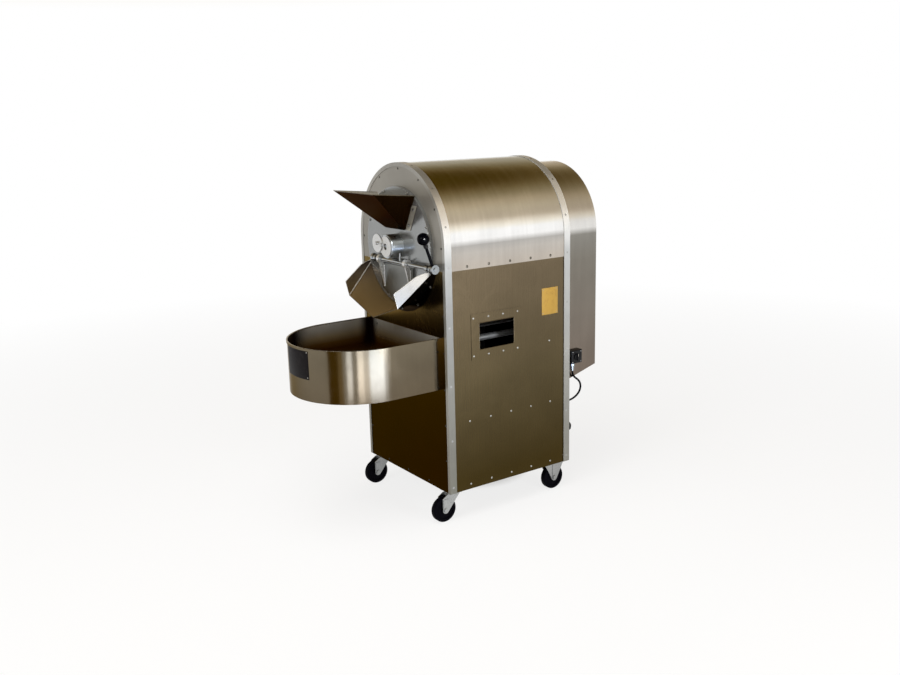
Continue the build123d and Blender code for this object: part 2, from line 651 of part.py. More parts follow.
def rear_bearing():
    """Bearing block on the frame's channel."""
    middle = REAR_INNER_Y - BEARER_WIDTH / 2
    foot_z = AXIS_Z - BLOCK_HEIGHT
    bore = disc(SHAFT_RADIUS + RUNNING_FIT, 0, AXIS_Z)
    foot = rect(-BLOCK_LENGTH / 2, BLOCK_LENGTH / 2, foot_z, foot_z + BLOCK_FOOT)
    neck = rect(-BLOCK_NECK / 2, BLOCK_NECK / 2, foot_z, foot_z + BLOCK_FOOT)
    housing = make_hull(neck.edges() + disc(BLOCK_HOUSING_RADIUS, 0, AXIS_Z).edges())
    block = slab_y(foot, middle - BLOCK_WIDTH / 2, middle + BLOCK_WIDTH / 2)
    block += slab_y(housing, middle - BLOCK_HOUSING_WIDTH / 2, middle + BLOCK_HOUSING_WIDTH / 2)
    return block - slab_y(bore, middle - BLOCK_WIDTH, middle + BLOCK_WIDTH)


# Hopper, spout and pan
def sheet_piece(corners, towards):
    """Flat sheet through given corners, thickened towards one side."""
    return extrude(make_face(Polyline(*corners, close=True)), amount=HOPPER_SHEET, dir=towards)


def hopper():
    """Folded feed hopper: front, two sides, a narrow foot and flanges on the disc."""
    foot_z = AXIS_Z + HOPPER_FOOT
    foot_y = DISC_FACE_Y - HOPPER_FOOT_REACH
    rear_low = Vector(HOPPER_FOOT_HALF, DISC_FACE_Y, foot_z)
    rear_high = Vector(HOPPER_REAR_HALF, DISC_FACE_Y, foot_z + HOPPER_REAR_RISE)
    front_high = Vector(HOPPER_FRONT_HALF, DISC_FACE_Y - HOPPER_REACH, foot_z + HOPPER_FRONT_RISE)
    normal = (rear_high - rear_low).cross(front_high - rear_low).normalized()
    foot_half = HOPPER_FOOT_HALF - normal.Y * (foot_y - DISC_FACE_Y) / normal.X
    front_low = Vector(foot_half, foot_y, foot_z)
    inward = normal if normal.X < 0 else normal * -1
    side = sheet_piece([rear_low, front_low, front_high, rear_high], inward)
    front_corners = [front_low, front_high, Vector(-front_high.X, front_high.Y, front_high.Z),
                     Vector(-front_low.X, front_low.Y, front_low.Z)]
    rise = front_high - front_low
    front = sheet_piece(front_corners, Vector(0, rise.Z, -rise.Y).normalized())
    foot_corners = [rear_low, front_low, Vector(-front_low.X, front_low.Y, front_low.Z),
                    Vector(-rear_low.X, rear_low.Y, rear_low.Z)]
    foot = sheet_piece(foot_corners, Vector(0, 0, 1))
    high_x, high_z = hopper_corner(HOPPER_FLANGE_SHARE)
    flange = make_face(Polyline((rear_low.X, rear_low.Z), (rear_low.X + HOPPER_FLANGE, rear_low.Z),
                                (high_x + HOPPER_FLANGE, high_z), (high_x, high_z), close=True))
    strip = slab_y(flange, DISC_FACE_Y - HOPPER_SHEET, DISC_FACE_Y)
    return front + foot + both_sides(side + strip)


def discharge_spout():
    """Spout that changes from the disc's round rim to a folded V, with a cheek on each side."""
    outer = DISC_RADIUS + SPOUT_GAP + SPOUT_SHEET
    inner = DISC_RADIUS + SPOUT_GAP
    lip_y = FRONT_FACE_Y - SPOUT_REACH
    tip = Vector(0, AXIS_Z - SPOUT_TIP_DROP)
    lip = Vector(SPOUT_LIP_HALF, AXIS_Z - SPOUT_LIP_DROP)
    along = (lip - tip).normalized()
    rise = Vector(-along.Y, along.X) * SPOUT_SHEET
    tip_in = tip + Vector(0, SPOUT_SHEET / along.X)
    lip_face = make_face(Polyline(tip, lip, lip + rise, tip_in, close=True))
    rear_face = ring_sector(outer, inner, -90, SPOUT_HALF_ANGLE)
    sections = [Plane.XZ.offset(-FRONT_FACE_Y) * rear_face, Plane.XZ.offset(-lip_y) * lip_face]
    half = loft(Sketch() + sections, ruled=True)
    turn = math.radians(SPOUT_HALF_ANGLE)
    root = Vector(outer * math.sin(turn), FRONT_FACE_Y, AXIS_Z - outer * math.cos(turn))
    corner = Vector(lip.X, lip_y, lip.Y)
    top = corner + Vector(0, -CHEEK_LEAN, CHEEK_HEIGHT)
    upright = (top - corner).normalized()
    shoulder = root + (top - root) * CHEEK_SHOULDER_SHARE + upright * CHEEK_SHOULDER_RISE
    heel = root + (top - root) * CHEEK_HEEL_SHARE + upright * CHEEK_HEEL_RISE
    cheek = make_face(Polyline(root, corner, top, shoulder, heel, close=True))
    half += extrude(cheek, amount=SPOUT_SHEET, dir=(-1, 0, 0))
    half += slab_y(ring_sector(outer + SPOUT_FLANGE, inner, -90, SPOUT_HALF_ANGLE),
                   FRONT_FACE_Y - SPOUT_SHEET, FRONT_FACE_Y)
    return both_sides(half)


def pan_outline(inset):
    """Plan of the pan: straight sides with a half-round front, inset from its outermost line."""
    half = PAN_HALF_WIDTH - inset
    centre = PAN_FRONT_Y + PAN_HALF_WIDTH
    sides = Polyline((-half, centre), (-half, FRONT_FACE_Y), (half, FRONT_FACE_Y), (half, centre))
    return make_face(sides + ThreePointArc((half, centre), (0, centre - half), (-half, centre)))


def receiving_pan():
    """Pan below the spout, with a flat floor and a turned rim."""
    wall = pan_outline(PAN_RIM)
    inside = pan_outline(PAN_RIM + PAN_SHEET)
    rear_wall = rect(-PAN_HALF_WIDTH, PAN_HALF_WIDTH, FRONT_FACE_Y - PAN_SHEET, FRONT_FACE_Y)
    body = slab_z(wall, PAN_FLOOR_Z, PAN_RIM_Z)
    body -= slab_z(inside - rear_wall, PAN_FLOOR_Z + PAN_SHEET, PAN_RIM_Z + PAN_SHEET)
    return body + slab_z(pan_outline(0) - wall, PAN_RIM_Z - PAN_RIM_HEIGHT, PAN_RIM_Z)


# Discharge door and lever
def bracket_outline(base_y):
    """Bearing bracket of the door rod, from the sheet behind it to round the rod."""
    stem = rect(ROD_Y, base_y, ROD_Z - BRACKET_RADIUS, ROD_Z + BRACKET_RADIUS)
    return stem + disc(BRACKET_RADIUS, ROD_Y, ROD_Z) - disc(ROD_RADIUS + RUNNING_FIT, ROD_Y, ROD_Z)


def rod_brackets():
    """Bracket on the disc at the left and bracket on the front plate at the right."""
    half = BRACKET_WIDTH / 2
    left = slab_x(bracket_outline(DISC_FACE_Y), -BRACKET_SIDE - half, -BRACKET_SIDE + half)
    right = slab_x(bracket_outline(FRONT_FACE_Y), RIGHT_BRACKET_X - half, RIGHT_BRACKET_X + half)
    return Compound(children=[left.solid(), right.solid()])


def door_rod():
    """Rod that carries the door, with an end collar and a stop pin."""
    collar_high = -BRACKET_SIDE - BRACKET_WIDTH / 2 - SIDE_GAP
    collar_low = collar_high - END_COLLAR_WIDTH
    rod_end = LEVER_X + LEVER_BOSS_WIDTH / 2 + ROD_END
    rod = slab_x(disc(ROD_RADIUS, ROD_Y, ROD_Z), collar_low - ROD_END, rod_end)
    rod += slab_x(disc(COLLAR_RADIUS, ROD_Y, ROD_Z), collar_low, collar_high)
    return rod + slab_z(disc(STOP_PIN_RADIUS, STOP_PIN_SIDE, ROD_Y), ROD_Z, ROD_Z + STOP_PIN_LENGTH)


def door_straps():
    """Gussets with collars, clamped on the rod and welded to the door."""
    gusset = make_face(Polyline((ROD_Y - COLLAR_RADIUS * STRAP_ROOT_SHARE, ROD_Z),
                                (DOOR_FACE_Y, ROD_Z - STRAP_TOP), (DOOR_FACE_Y, ROD_Z - STRAP_LENGTH),
                                close=True))
    ends = (STRAP_SIDE - COLLAR_WIDTH / 2, STRAP_SIDE + COLLAR_WIDTH / 2)
    strap = slab_x(gusset, STRAP_SIDE - STRAP_THICKNESS / 2, STRAP_SIDE + STRAP_THICKNESS / 2)
    strap += slab_x(disc(COLLAR_RADIUS, ROD_Y, ROD_Z), *ends)
    strap -= slab_x(disc(ROD_RADIUS + SEAT_FIT, ROD_Y, ROD_Z), *ends)
    return Compound(children=[strap.solid(), mirror(strap, about=Plane.YZ).solid()])


def discharge_door():
    """Door plate in front of the discharge opening."""
    return slab_y(door_outline(0), DOOR_FACE_Y, DOOR_BACK_Y)


def lever_direction():
    """Unit vector along the lever, from the rod to the knob."""
    lean = math.radians(LEVER_LEAN)
    return Vector(0, -math.sin(lean), math.cos(lean))


def lever_cylinder(radius, start, end):
    """Round bar along the lever's line, between two distances from the rod's axis."""
    root = Vector(LEVER_X, ROD_Y, ROD_Z) + lever_direction() * start
    return extrude(Plane(root, z_dir=lever_direction()) * Circle(radius), amount=end - start)


def lever_boss():
    """Boss of the lever, clamped on the end of the rod."""
    half = LEVER_BOSS_WIDTH / 2
    ring = disc(LEVER_BOSS_RADIUS, ROD_Y, ROD_Z) - disc(ROD_RADIUS + SEAT_FIT, ROD_Y, ROD_Z)
    boss = slab_x(ring, LEVER_X - half, LEVER_X + half)
    return boss - lever_cylinder(LEVER_RADIUS + SEAT_FIT, ROD_RADIUS + SIDE_GAP, LEVER_LENGTH)


def lever_arm():
    """Bar screwed into the boss."""
    return lever_cylinder(LEVER_RADIUS, ROD_RADIUS + SIDE_GAP, LEVER_LENGTH - KNOB_RADIUS + KNOB_SOCKET)


def lever_knob():
    """Ball knob on the end of the lever."""
    centre = Vector(LEVER_X, ROD_Y, ROD_Z) + lever_direction() * LEVER_LENGTH
    ball = Pos(*centre) * Sphere(KNOB_RADIUS)
    socket = lever_cylinder(LEVER_RADIUS + SEAT_FIT, 0, LEVER_LENGTH - KNOB_RADIUS + KNOB_SOCKET)
    return ball - socket


# Burners and gas line
def manifold_bar():
    """Gas manifold between the rear posts."""
    end = INNER_X - ANGLE_WALL
    return slab_x(disc(MANIFOLD_RADIUS, MANIFOLD_Y, BURNER_Z), -end, end)


def burner_tubes():
    """Three burner tubes from the front rail to the manifold."""
    tubes = []
    for side in (-BURNER_PITCH, 0.0, BURNER_PITCH):
        tube = slab_y(disc(BURNER_RADIUS, side, BURNER_Z), FRONT_INNER_Y + ANGLE_WALL, MANIFOLD_Y)
        tubes.append((tube - manifold_bar()).solid())
    return Compound(children=tubes)


def valve_barrel():
    """Barrel of the gas valve, along X behind the rear panel."""
    return slab_x(disc(VALVE_RADIUS, MANIFOLD_Y, VALVE_Z), VALVE_SIDE - VALVE_TAIL, VALVE_SIDE + VALVE_HEAD)


def gas_valve():
    """Valve barrel with its stem boss through the rear panel and a locknut outside."""
    stem_end = REAR_FACE_Y + LOCKNUT_THICKNESS
    boss = slab_y(disc(STEM_BOSS_RADIUS, VALVE_SIDE, VALVE_Z), MANIFOLD_Y, stem_end)
    shoulder = slab_y(disc(VALVE_RADIUS, VALVE_SIDE, VALVE_Z), MANIFOLD_Y, REAR_INNER_Y)
    nut = Pos(VALVE_SIDE, VALVE_Z) * RegularPolygon(LOCKNUT_RADIUS, 6)
    body = valve_barrel() + boss + shoulder + slab_y(nut, REAR_FACE_Y, stem_end)
    return body - slab_y(disc(STEM_RADIUS + RUNNING_FIT, VALVE_SIDE, VALVE_Z), MANIFOLD_Y, stem_end)


def gas_inlet():
    """Inlet nipple, screwed into the valve, with its shoulder on the outside of the rear panel."""
    inlet_x = VALVE_SIDE - INLET_STEP
    thread = slab_y(disc(NIPPLE_THREAD_RADIUS, inlet_x, VALVE_Z), MANIFOLD_Y, REAR_FACE_Y)
    nipple = slab_y(disc(NIPPLE_RADIUS, inlet_x, VALVE_Z), REAR_FACE_Y, REAR_FACE_Y + NIPPLE_LENGTH)
    return thread - valve_barrel() + nipple


def gas_pipe():
    """Pipe from the valve up to the manifold."""
    pipe = slab_z(disc(PIPE_RADIUS, VALVE_SIDE - PIPE_STEP, MANIFOLD_Y), VALVE_Z, BURNER_Z)
    return pipe - valve_barrel() - manifold_bar()


def gas_knob():
    """Fluted knob of the gas valve with its stem."""
    start = REAR_FACE_Y + LOCKNUT_THICKNESS + SIDE_GAP
    end = start + GAS_KNOB_LENGTH
    rim = Circle(GAS_KNOB_RADIUS) - PolarLocations(GAS_KNOB_RADIUS, GAS_KNOB_FLUTES) * Circle(GAS_KNOB_FLUTE)
    skirt = slab_y(Pos(VALVE_SIDE, VALVE_Z) * rim, start, end - GAS_KNOB_CROWN)
    crown = slab_y(disc(GAS_KNOB_CROWN_RADIUS, VALVE_SIDE, VALVE_Z), start, end)
    crown = chamfer(crown.edges().sort_by(Axis.Y)[-1], GAS_KNOB_CHAMFER)
    return skirt + crown + slab_y(disc(STEM_RADIUS, VALVE_SIDE, VALVE_Z), MANIFOLD_Y + SIDE_GAP, start)


# Drive
def sprocket(teeth, hub_radius, bore_radius, centre_z):
    """Sprocket with a roller seat between its teeth and a hub on each side."""
    pitch_radius = CHAIN_PITCH / (2 * math.sin(math.pi / teeth))
    toothed = Circle(pitch_radius + TOOTH_TIP) - PolarLocations(pitch_radius, teeth) * Circle(ROLLER_RADIUS)
    half, hub_half = SPROCKET_WIDTH / 2, SPROCKET_HUB_WIDTH / 2
    wheel = slab_y(Pos(0, centre_z) * toothed, SPROCKET_Y - half, SPROCKET_Y + half)
    wheel += slab_y(disc(hub_radius, 0, centre_z), SPROCKET_Y - hub_half, SPROCKET_Y + hub_half)
    return wheel - slab_y(disc(bore_radius, 0, centre_z), SPROCKET_Y - hub_half, SPROCKET_Y + hub_half)


def drum_sprocket():
    """Large sprocket on the drum shaft."""
    return sprocket(DRUM_TEETH, DRUM_SPROCKET_HUB, SHAFT_RADIUS + SEAT_FIT, AXIS_Z)


def motor_sprocket():
    """Small sprocket on the gearmotor's output shaft."""
    return sprocket(MOTOR_TEETH, MOTOR_SPROCKET_HUB, OUTPUT_RADIUS + SEAT_FIT, GEAR_Z)


def output_shaft():
    """Output shaft, carried in the gearbox."""
    start = SPROCKET_Y - SPROCKET_HUB_WIDTH / 2
    return slab_y(disc(OUTPUT_RADIUS, 0, GEAR_Z), start, GEARBOX_FRONT_Y + OUTPUT_TAIL)


def chain_loop(offset):
    """Line of the chain round both sprockets, moved outwards by an offset."""
    upper = disc(DRUM_PITCH_RADIUS + offset, 0, AXIS_Z)
    lower = disc(MOTOR_PITCH_RADIUS + offset, 0, GEAR_Z)
    return make_hull(upper.edges() + lower.edges())


def drive_chain():
    """Two rows of link plates, one on each side of the teeth."""
    band = chain_loop(LINK_HALF_HEIGHT) - chain_loop(-LINK_HALF_HEIGHT)
    near = SPROCKET_WIDTH / 2 + SIDE_GAP
    rows = [slab_y(band, SPROCKET_Y + near, SPROCKET_Y + near + LINK_THICKNESS).solid(),
            slab_y(band, SPROCKET_Y - near - LINK_THICKNESS, SPROCKET_Y - near).solid()]
    return Compound(children=rows)


def gearmotor():
    """Worm gearbox with its motor hanging below."""
    half, rise = GEARBOX_WIDTH / 2, GEARBOX_HEIGHT / 2
    outline = rect(-half, half, GEAR_Z - rise, GEAR_Z + rise)
    box = slab_y(outline, GEARBOX_FRONT_Y, GEARBOX_FRONT_Y + GEARBOX_DEPTH)
    box = fillet(box.edges().filter_by(Axis.Y).group_by(Axis.Z)[-1], GEARBOX_EDGE)
    foot = GEAR_Z - rise
    box += slab_z(disc(MOTOR_NECK_RADIUS, 0, GEARBOX_MID_Y), foot - MOTOR_NECK, foot)
    motor = slab_z(disc(MOTOR_RADIUS, 0, GEARBOX_MID_Y), MOTOR_END_Z, foot - MOTOR_NECK)
    box += fillet(motor.edges().sort_by(Axis.Z)[0], GEARBOX_EDGE)
    seat = disc(OUTPUT_RADIUS + RUNNING_FIT, 0, GEAR_Z)
    return box - slab_y(seat, GEARBOX_FRONT_Y, GEARBOX_FRONT_Y + OUTPUT_TAIL + SIDE_GAP)


def motor_bracket():
    """Cradle that holds the gearbox off the rear panel."""
    half = GEARBOX_WIDTH / 2
    low, high = GEAR_Z - BRACKET_ARM_DROP, GEAR_Z + BRACKET_ARM_RISE
    foot = rect(half, half + BRACKET_FOOT, low, high)
    arm = rect(half, half + BRACKET_ARM, low, high)
    cradle = slab_y(foot, REAR_FACE_Y, REAR_FACE_Y + BRACKET_BASE)
    cradle += slab_y(arm, REAR_FACE_Y, GEARBOX_FRONT_Y + GEARBOX_DEPTH)
    return Compound(children=[cradle.solid(), mirror(cradle, about=Plane.YZ).solid()])


def housing_block(inset, front_y):
    """Space under the drive housing's sheet: an arch cut off by a slanted floor."""
    body = slab_y(arch(HOUSING_X - inset, HOUSING_FOOT_Z, ARCH_Z), front_y, HOUSING_BACK_Y - inset)
    low = HOUSING_FOOT_Z + inset
    top = ARCH_Z + HALF_WIDTH
    side = make_face(Polyline((FRONT_Y, low), (REAR_FACE_Y, low), (HOUSING_BACK_Y, low + HOUSING_RISE),
                              (HOUSING_BACK_Y, top), (FRONT_Y, top), close=True))
    return body & slab_x(side, -HALF_WIDTH, HALF_WIDTH)


def drive_housing():
    """Arched cover over the drive, with vent slots behind the motor."""
    shell = housing_block(0, REAR_FACE_Y) - housing_block(SHEET, REAR_FACE_Y - SHEET)
    slots = Sketch()
    for index in range(VENT_COUNT):
        slots += Pos(0, GEAR_Z - index * VENT_PITCH) * SlotOverall(VENT_LENGTH, VENT_WIDTH)
    return shell - slab_y(slots, HOUSING_BACK_Y - 2 * SHEET, HOUSING_BACK_Y + SHEET)


# Switch and lead
def switch_box():
    """Switch box on the right side of the drive housing."""
    outline = Pos(SWITCH_MID_Y, SWITCH_MID_Z) * Rectangle(SWITCH_WIDTH, SWITCH_HEIGHT)
    box = slab_x(outline, HOUSING_X, SWITCH_FACE_X)
    box = fillet(box.faces().sort_by(Axis.X)[-1].edges(), SWITCH_EDGE)
    hole = disc(SWITCH_STEM_RADIUS + RUNNING_FIT, SWITCH_MID_Y, SWITCH_MID_Z)
    return box - slab_x(hole, SWITCH_FACE_X - SWITCH_STEM_LENGTH - SIDE_GAP, SWITCH_FACE_X)


def switch_knob():
    """Turning knob of the switch: a round base with a grip bar, and its stem."""
    start = SWITCH_FACE_X + SIDE_GAP
    end = SWITCH_FACE_X + SWITCH_KNOB_LENGTH
    round_base = disc(SWITCH_KNOB_RADIUS, SWITCH_MID_Y, SWITCH_MID_Z)
    grip = rect(SWITCH_MID_Y - SWITCH_GRIP / 2, SWITCH_MID_Y + SWITCH_GRIP / 2,
                SWITCH_MID_Z - SWITCH_KNOB_RADIUS, SWITCH_MID_Z + SWITCH_KNOB_RADIUS) & round_base
    knob = slab_x(round_base, start, start + SWITCH_KNOB_BASE) + slab_x(grip, start, end)
    stem = disc(SWITCH_STEM_RADIUS, SWITCH_MID_Y, SWITCH_MID_Z)
    return knob + slab_x(stem, SWITCH_FACE_X - SWITCH_STEM_LENGTH, start)


def gland():
    """Cable gland standing on the XY plane: a hexagon nut and a round dome."""
    body = extrude(RegularPolygon(GLAND_NUT_RADIUS, 6), amount=GLAND_NUT_LENGTH)
    dome = extrude(Circle(GLAND_RADIUS), amount=GLAND_LENGTH)
    return body + fillet(dome.edges().sort_by(Axis.Z)[-1], GLAND_RADIUS - CORD_RADIUS - WELD_GAP)


def gland_planes():
    """Seat of the gland under the switch box and of the gland on the rear panel."""
    upper_x = HOUSING_X + GLAND_NUT_RADIUS + SIDE_GAP
    upper = Plane((upper_x, SWITCH_FRONT_Y + GLAND_SETBACK, SWITCH_FOOT_Z), z_dir=(0, 0, -1))
    lower = Plane((REAR_GLAND_SIDE, REAR_FACE_Y, BASE_Z + REAR_GLAND_HEIGHT), z_dir=(0, 1, 0))
    return upper, lower


def cable_glands():
    """Gland under the switch box and gland on the rear panel."""
    return Compound(children=[(seat * gland()).solid() for seat in gland_planes()])


def cord_points():
    """The lead's route, carried along with the mouths of its two glands."""
    upper, lower = [seat.origin + seat.z_dir * GLAND_LENGTH for seat in gland_planes()]
    points = [Vector(*point) for point in CORD_ROUTE]
    upper_move = upper - points[0]
    lower_move = lower - points[-1]
    moved = []
    for index, point in enumerate(points):
        share = min(max((index - 1) / (len(points) - 3), 0), 1)
        moved.append(point + upper_move * (1 - share) + lower_move * share)
    return moved


def lead():
    """Short lead between the glands, with each bend as wide as its runs allow."""
    points = cord_points()
    room = [BEND_SHARE * (after - before).length for before, after in zip(points, points[1:])]
    room[0] *= 2
    room[-1] *= 2
    radii = []
    for index in range(1, len(points) - 1):
        before, after = points[index] - points[index - 1], points[index + 1] - points[index]
        turn = math.radians(before.get_angle(after))
        radii.append(min(room[index - 1], room[index]) / math.tan(turn / 2))
    path = FilletPolyline(*points, radius=radii)
    print("lead length", round(path.length, 1), "bend radii", [round(radius, 1) for radius in radii])
    start = Plane(path @ 0, z_dir=path % 0)
    return sweep(start * Circle(CORD_RADIUS), path=path)


# Casters: swivelling ones in front, fixed ones behind
CASTER_SIDE = INNER_X - CASTER_EDGE_GAP - CASTER_PLATE_LENGTH / 2
SWIVEL_Y = FRONT_INNER_Y + CASTER_PLATE_WIDTH / 2
FIXED_Y = REAR_INNER_Y - FIXED_PLATE_WIDTH / 2
CASTER_PLATE_Z = CASTER_TOP - CASTER_PLATE_THICKNESS
RACE_Z = CASTER_PLATE_Z - RACE_HEIGHT
CROWN_TOP_Z = RACE_Z - SIDE_GAP
CROWN_Z = CROWN_TOP_Z - CROWN_THICKNESS
LEG_INSIDE = WHEEL_WIDTH / 2 + FORK_SIDE_GAP
LEG_OUTSIDE = LEG_INSIDE + FORK_WALL


def caster_plate(x):
    """Top plate of a swivelling caster, with its race and king pin."""
    outline = Pos(x, SWIVEL_Y) * Rectangle(CASTER_PLATE_LENGTH, CASTER_PLATE_WIDTH)
    plate = slab_z(outline, CASTER_PLATE_Z, CASTER_TOP)
    plate += slab_z(disc(RACE_RADIUS, x, SWIVEL_Y), RACE_Z, CASTER_PLATE_Z)
    return plate + slab_z(disc(KING_PIN_RADIUS, x, SWIVEL_Y), CROWN_Z, RACE_Z)


def caster_legs(x, axle_y, leg, rib_top):
    """Two pressed legs with a rib down each, and the riveted axle between them."""
    rib_radius = FORK_FOOT_RADIUS - FORK_RIB_MARGIN
    rib = disc(rib_radius, axle_y, WHEEL_RADIUS)
    rib += rect(axle_y - rib_radius, axle_y + rib_radius, WHEEL_RADIUS, rib_top)
    legs = slab_x(disc(AXLE_RADIUS, axle_y, WHEEL_RADIUS), x - LEG_OUTSIDE, x + LEG_OUTSIDE)
    for low, rib_low in ((x + LEG_INSIDE, x + LEG_OUTSIDE), (x - LEG_OUTSIDE, x - LEG_OUTSIDE - FORK_RIB)):
        legs += slab_x(leg, low, low + FORK_WALL) + slab_x(rib, rib_low, rib_low + FORK_RIB)
    for low in (x - LEG_OUTSIDE - FORK_RIB - AXLE_HEAD, x + LEG_OUTSIDE + FORK_RIB):
        legs += slab_x(disc(AXLE_HEAD_RADIUS, axle_y, WHEEL_RADIUS), low, low + AXLE_HEAD)
    return legs


def caster_fork(x):
    """Swivelling fork whose axle trails its king pin."""
    y, axle_y = SWIVEL_Y, SWIVEL_Y - TRAIL
    crown = rect(x - LEG_OUTSIDE, x + LEG_OUTSIDE, y - CROWN_RADIUS, y + CROWN_RADIUS)
    crown += disc(CROWN_RADIUS, x, y)
    fork = slab_z(crown - disc(KING_PIN_RADIUS + RUNNING_FIT, x, y), CROWN_Z, CROWN_TOP_Z)
    root = rect(y - CROWN_RADIUS, y + CROWN_RADIUS, CROWN_Z, CROWN_TOP_Z)
    front_top = WHEEL_RADIUS + FORK_FRONT_RISE
    front = Line((axle_y - FORK_FOOT_RADIUS, WHEEL_RADIUS), (axle_y - FORK_FOOT_RADIUS, front_top))
    leg = make_hull(root.edges() + disc(FORK_FOOT_RADIUS, axle_y, WHEEL_RADIUS).edges() + [front])
    return fork + caster_legs(x, axle_y, leg, front_top - FORK_RIB_MARGIN)


def caster_bracket(x):
    """Fixed bracket: a top plate with legs that taper to the axle below its middle."""
    front, back = FIXED_Y - FIXED_PLATE_WIDTH / 2, FIXED_Y + FIXED_PLATE_WIDTH / 2
    outline = rect(x - CASTER_PLATE_LENGTH / 2, x + CASTER_PLATE_LENGTH / 2, front, back)
    plate = slab_z(outline, CASTER_PLATE_Z, CASTER_TOP)
    root = rect(front, back, CASTER_PLATE_Z, CASTER_TOP)
    leg = make_hull(root.edges() + disc(FORK_FOOT_RADIUS, FIXED_Y, WHEEL_RADIUS).edges())
    return plate + caster_legs(x, FIXED_Y, leg, CASTER_PLATE_Z - FORK_RIB_MARGIN)


def caster_wheel(x, axle_y):
    """Dished wheel that turns on its axle."""
    half = WHEEL_WIDTH / 2
    wheel = slab_x(disc(WHEEL_RADIUS, axle_y, WHEEL_RADIUS), x - half, x + half)
    wheel = fillet(wheel.edges().filter_by(GeomType.CIRCLE), WHEEL_EDGE)
    dish = disc(WHEEL_RADIUS - WHEEL_RIM, axle_y, WHEEL_RADIUS) - disc(WHEEL_HUB_RADIUS, axle_y, WHEEL_RADIUS)
    for low in (x - half, x + half - WHEEL_DISH):
        wheel -= slab_x(dish, low, low + WHEEL_DISH)
    return wheel - slab_x(disc(AXLE_RADIUS + RUNNING_FIT, axle_y, WHEEL_RADIUS), x - half, x + half)


def all_nodes():
    """Every piece by its name."""
    nodes = {
        "chassis_frame": frame(),
        "front_panel": front_panel(),
        "front_plate": front_plate(),
        "left_side_panel": left_side_panel(),
        "right_side_panel": right_side_panel(),
        "window_frame": window_frame(),
        "arch_cover": arch_cover(),
        "front_edge_trim": edge_trim(FRONT_Y, 1),
        "rear_edge_trim": edge_trim(REAR_Y, -1),
        "rear_panel": rear_panel(),
        "drum_jacket": drum_jacket(),
        "drum_shell": drum_shell(),
        "drum_shaft": drum_shaft(),
        "drum_spider": drum_spider(),
        "drum_vanes": drum_vanes(),
        "drum_sprocket": drum_sprocket(),
        "face_disc": face_disc(),
        "hub_housing": hub_housing(),
        "front_bearing": front_bearing(),
        "hub_cap": hub_cap(),
        "hub_swing_cover": swing_cover(),
        "rear_bearing": rear_bearing(),
        "hopper": hopper(),
        "discharge_spout": discharge_spout(),
        "receiving_pan": receiving_pan(),
        "rod_brackets": rod_brackets(),
        "door_rod": door_rod(),
        "door_straps": door_straps(),
        "discharge_door": discharge_door(),
        "lever_boss": lever_boss(),
        "lever_arm": lever_arm(),
        "lever_knob": lever_knob(),
        "burner_tubes": burner_tubes(),
        "gas_manifold": manifold_bar(),
        "gas_pipe": gas_pipe(),
        "gas_valve": gas_valve(),
        "gas_inlet": gas_inlet(),
        "gas_knob": gas_knob(),
        "motor_sprocket": motor_sprocket(),
        "output_shaft": output_shaft(),
        "drive_chain": drive_chain(),
        "gearmotor": gearmotor(),
        "motor_bracket": motor_bracket(),
        "drive_housing": drive_housing(),
        "switch_box": switch_box(),
        "switch_knob": switch_knob(),
        "cable_glands": cable_glands(),
        "switch_lead": lead(),
    }
    plates = []
    for name, x in (("left", -CASTER_SIDE), ("right", CASTER_SIDE)):
        plates.append(caster_plate(x).solid())
        nodes["caster_fork_front_" + name] = caster_fork(x)
        nodes["caster_wheel_front_" + name] = caster_wheel(x, SWIVEL_Y - TRAIL)
        nodes["caster_bracket_rear_" + name] = caster_bracket(x)
        nodes["caster_wheel_rear_" + name] = caster_wheel(x, FIXED_Y)
    nodes["caster_plates"] = Compound(children=plates)
    return nodes


os.makedirs("parts", exist_ok=True)
for node_name, node_shape in all_nodes().items():
    export_step(node_shape, f"parts/{node_name}.step")
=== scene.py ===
"""Looks of the chickpea roaster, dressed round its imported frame.

Metres, +Z up. The operator stands on the -Y side. Every place is in the frame that the CAD nodes share.
"""
from __future__ import annotations

import json
import logging
import math
from dataclasses import dataclass
from enum import Enum
from typing import Callable, Iterable, Sequence

import bmesh
import bpy
from mathutils import Matrix, Vector

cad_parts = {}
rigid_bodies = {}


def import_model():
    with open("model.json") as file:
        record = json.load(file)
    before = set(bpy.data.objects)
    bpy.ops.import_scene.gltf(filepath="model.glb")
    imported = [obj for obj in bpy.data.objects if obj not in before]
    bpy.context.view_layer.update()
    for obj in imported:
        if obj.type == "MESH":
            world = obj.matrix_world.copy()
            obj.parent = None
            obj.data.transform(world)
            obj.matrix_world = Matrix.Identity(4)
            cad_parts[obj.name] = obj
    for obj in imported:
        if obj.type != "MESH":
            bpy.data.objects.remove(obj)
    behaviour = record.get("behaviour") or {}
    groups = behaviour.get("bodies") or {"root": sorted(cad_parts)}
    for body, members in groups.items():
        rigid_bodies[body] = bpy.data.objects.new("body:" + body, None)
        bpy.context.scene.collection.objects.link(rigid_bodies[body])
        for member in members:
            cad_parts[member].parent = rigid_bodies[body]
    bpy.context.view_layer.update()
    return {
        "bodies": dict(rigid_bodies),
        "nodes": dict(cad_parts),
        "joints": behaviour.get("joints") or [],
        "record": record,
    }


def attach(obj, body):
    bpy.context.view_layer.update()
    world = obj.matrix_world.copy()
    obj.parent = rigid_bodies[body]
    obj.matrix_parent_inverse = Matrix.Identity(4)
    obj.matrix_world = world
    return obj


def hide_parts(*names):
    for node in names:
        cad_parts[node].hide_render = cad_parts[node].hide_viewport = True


LOG = logging.getLogger("chickpea_roaster")
Tree = bpy.types.NodeTree
Node = bpy.types.Node
Socket = bpy.types.NodeSocket
Mesh = bpy.types.Mesh
Piece = bpy.types.Object
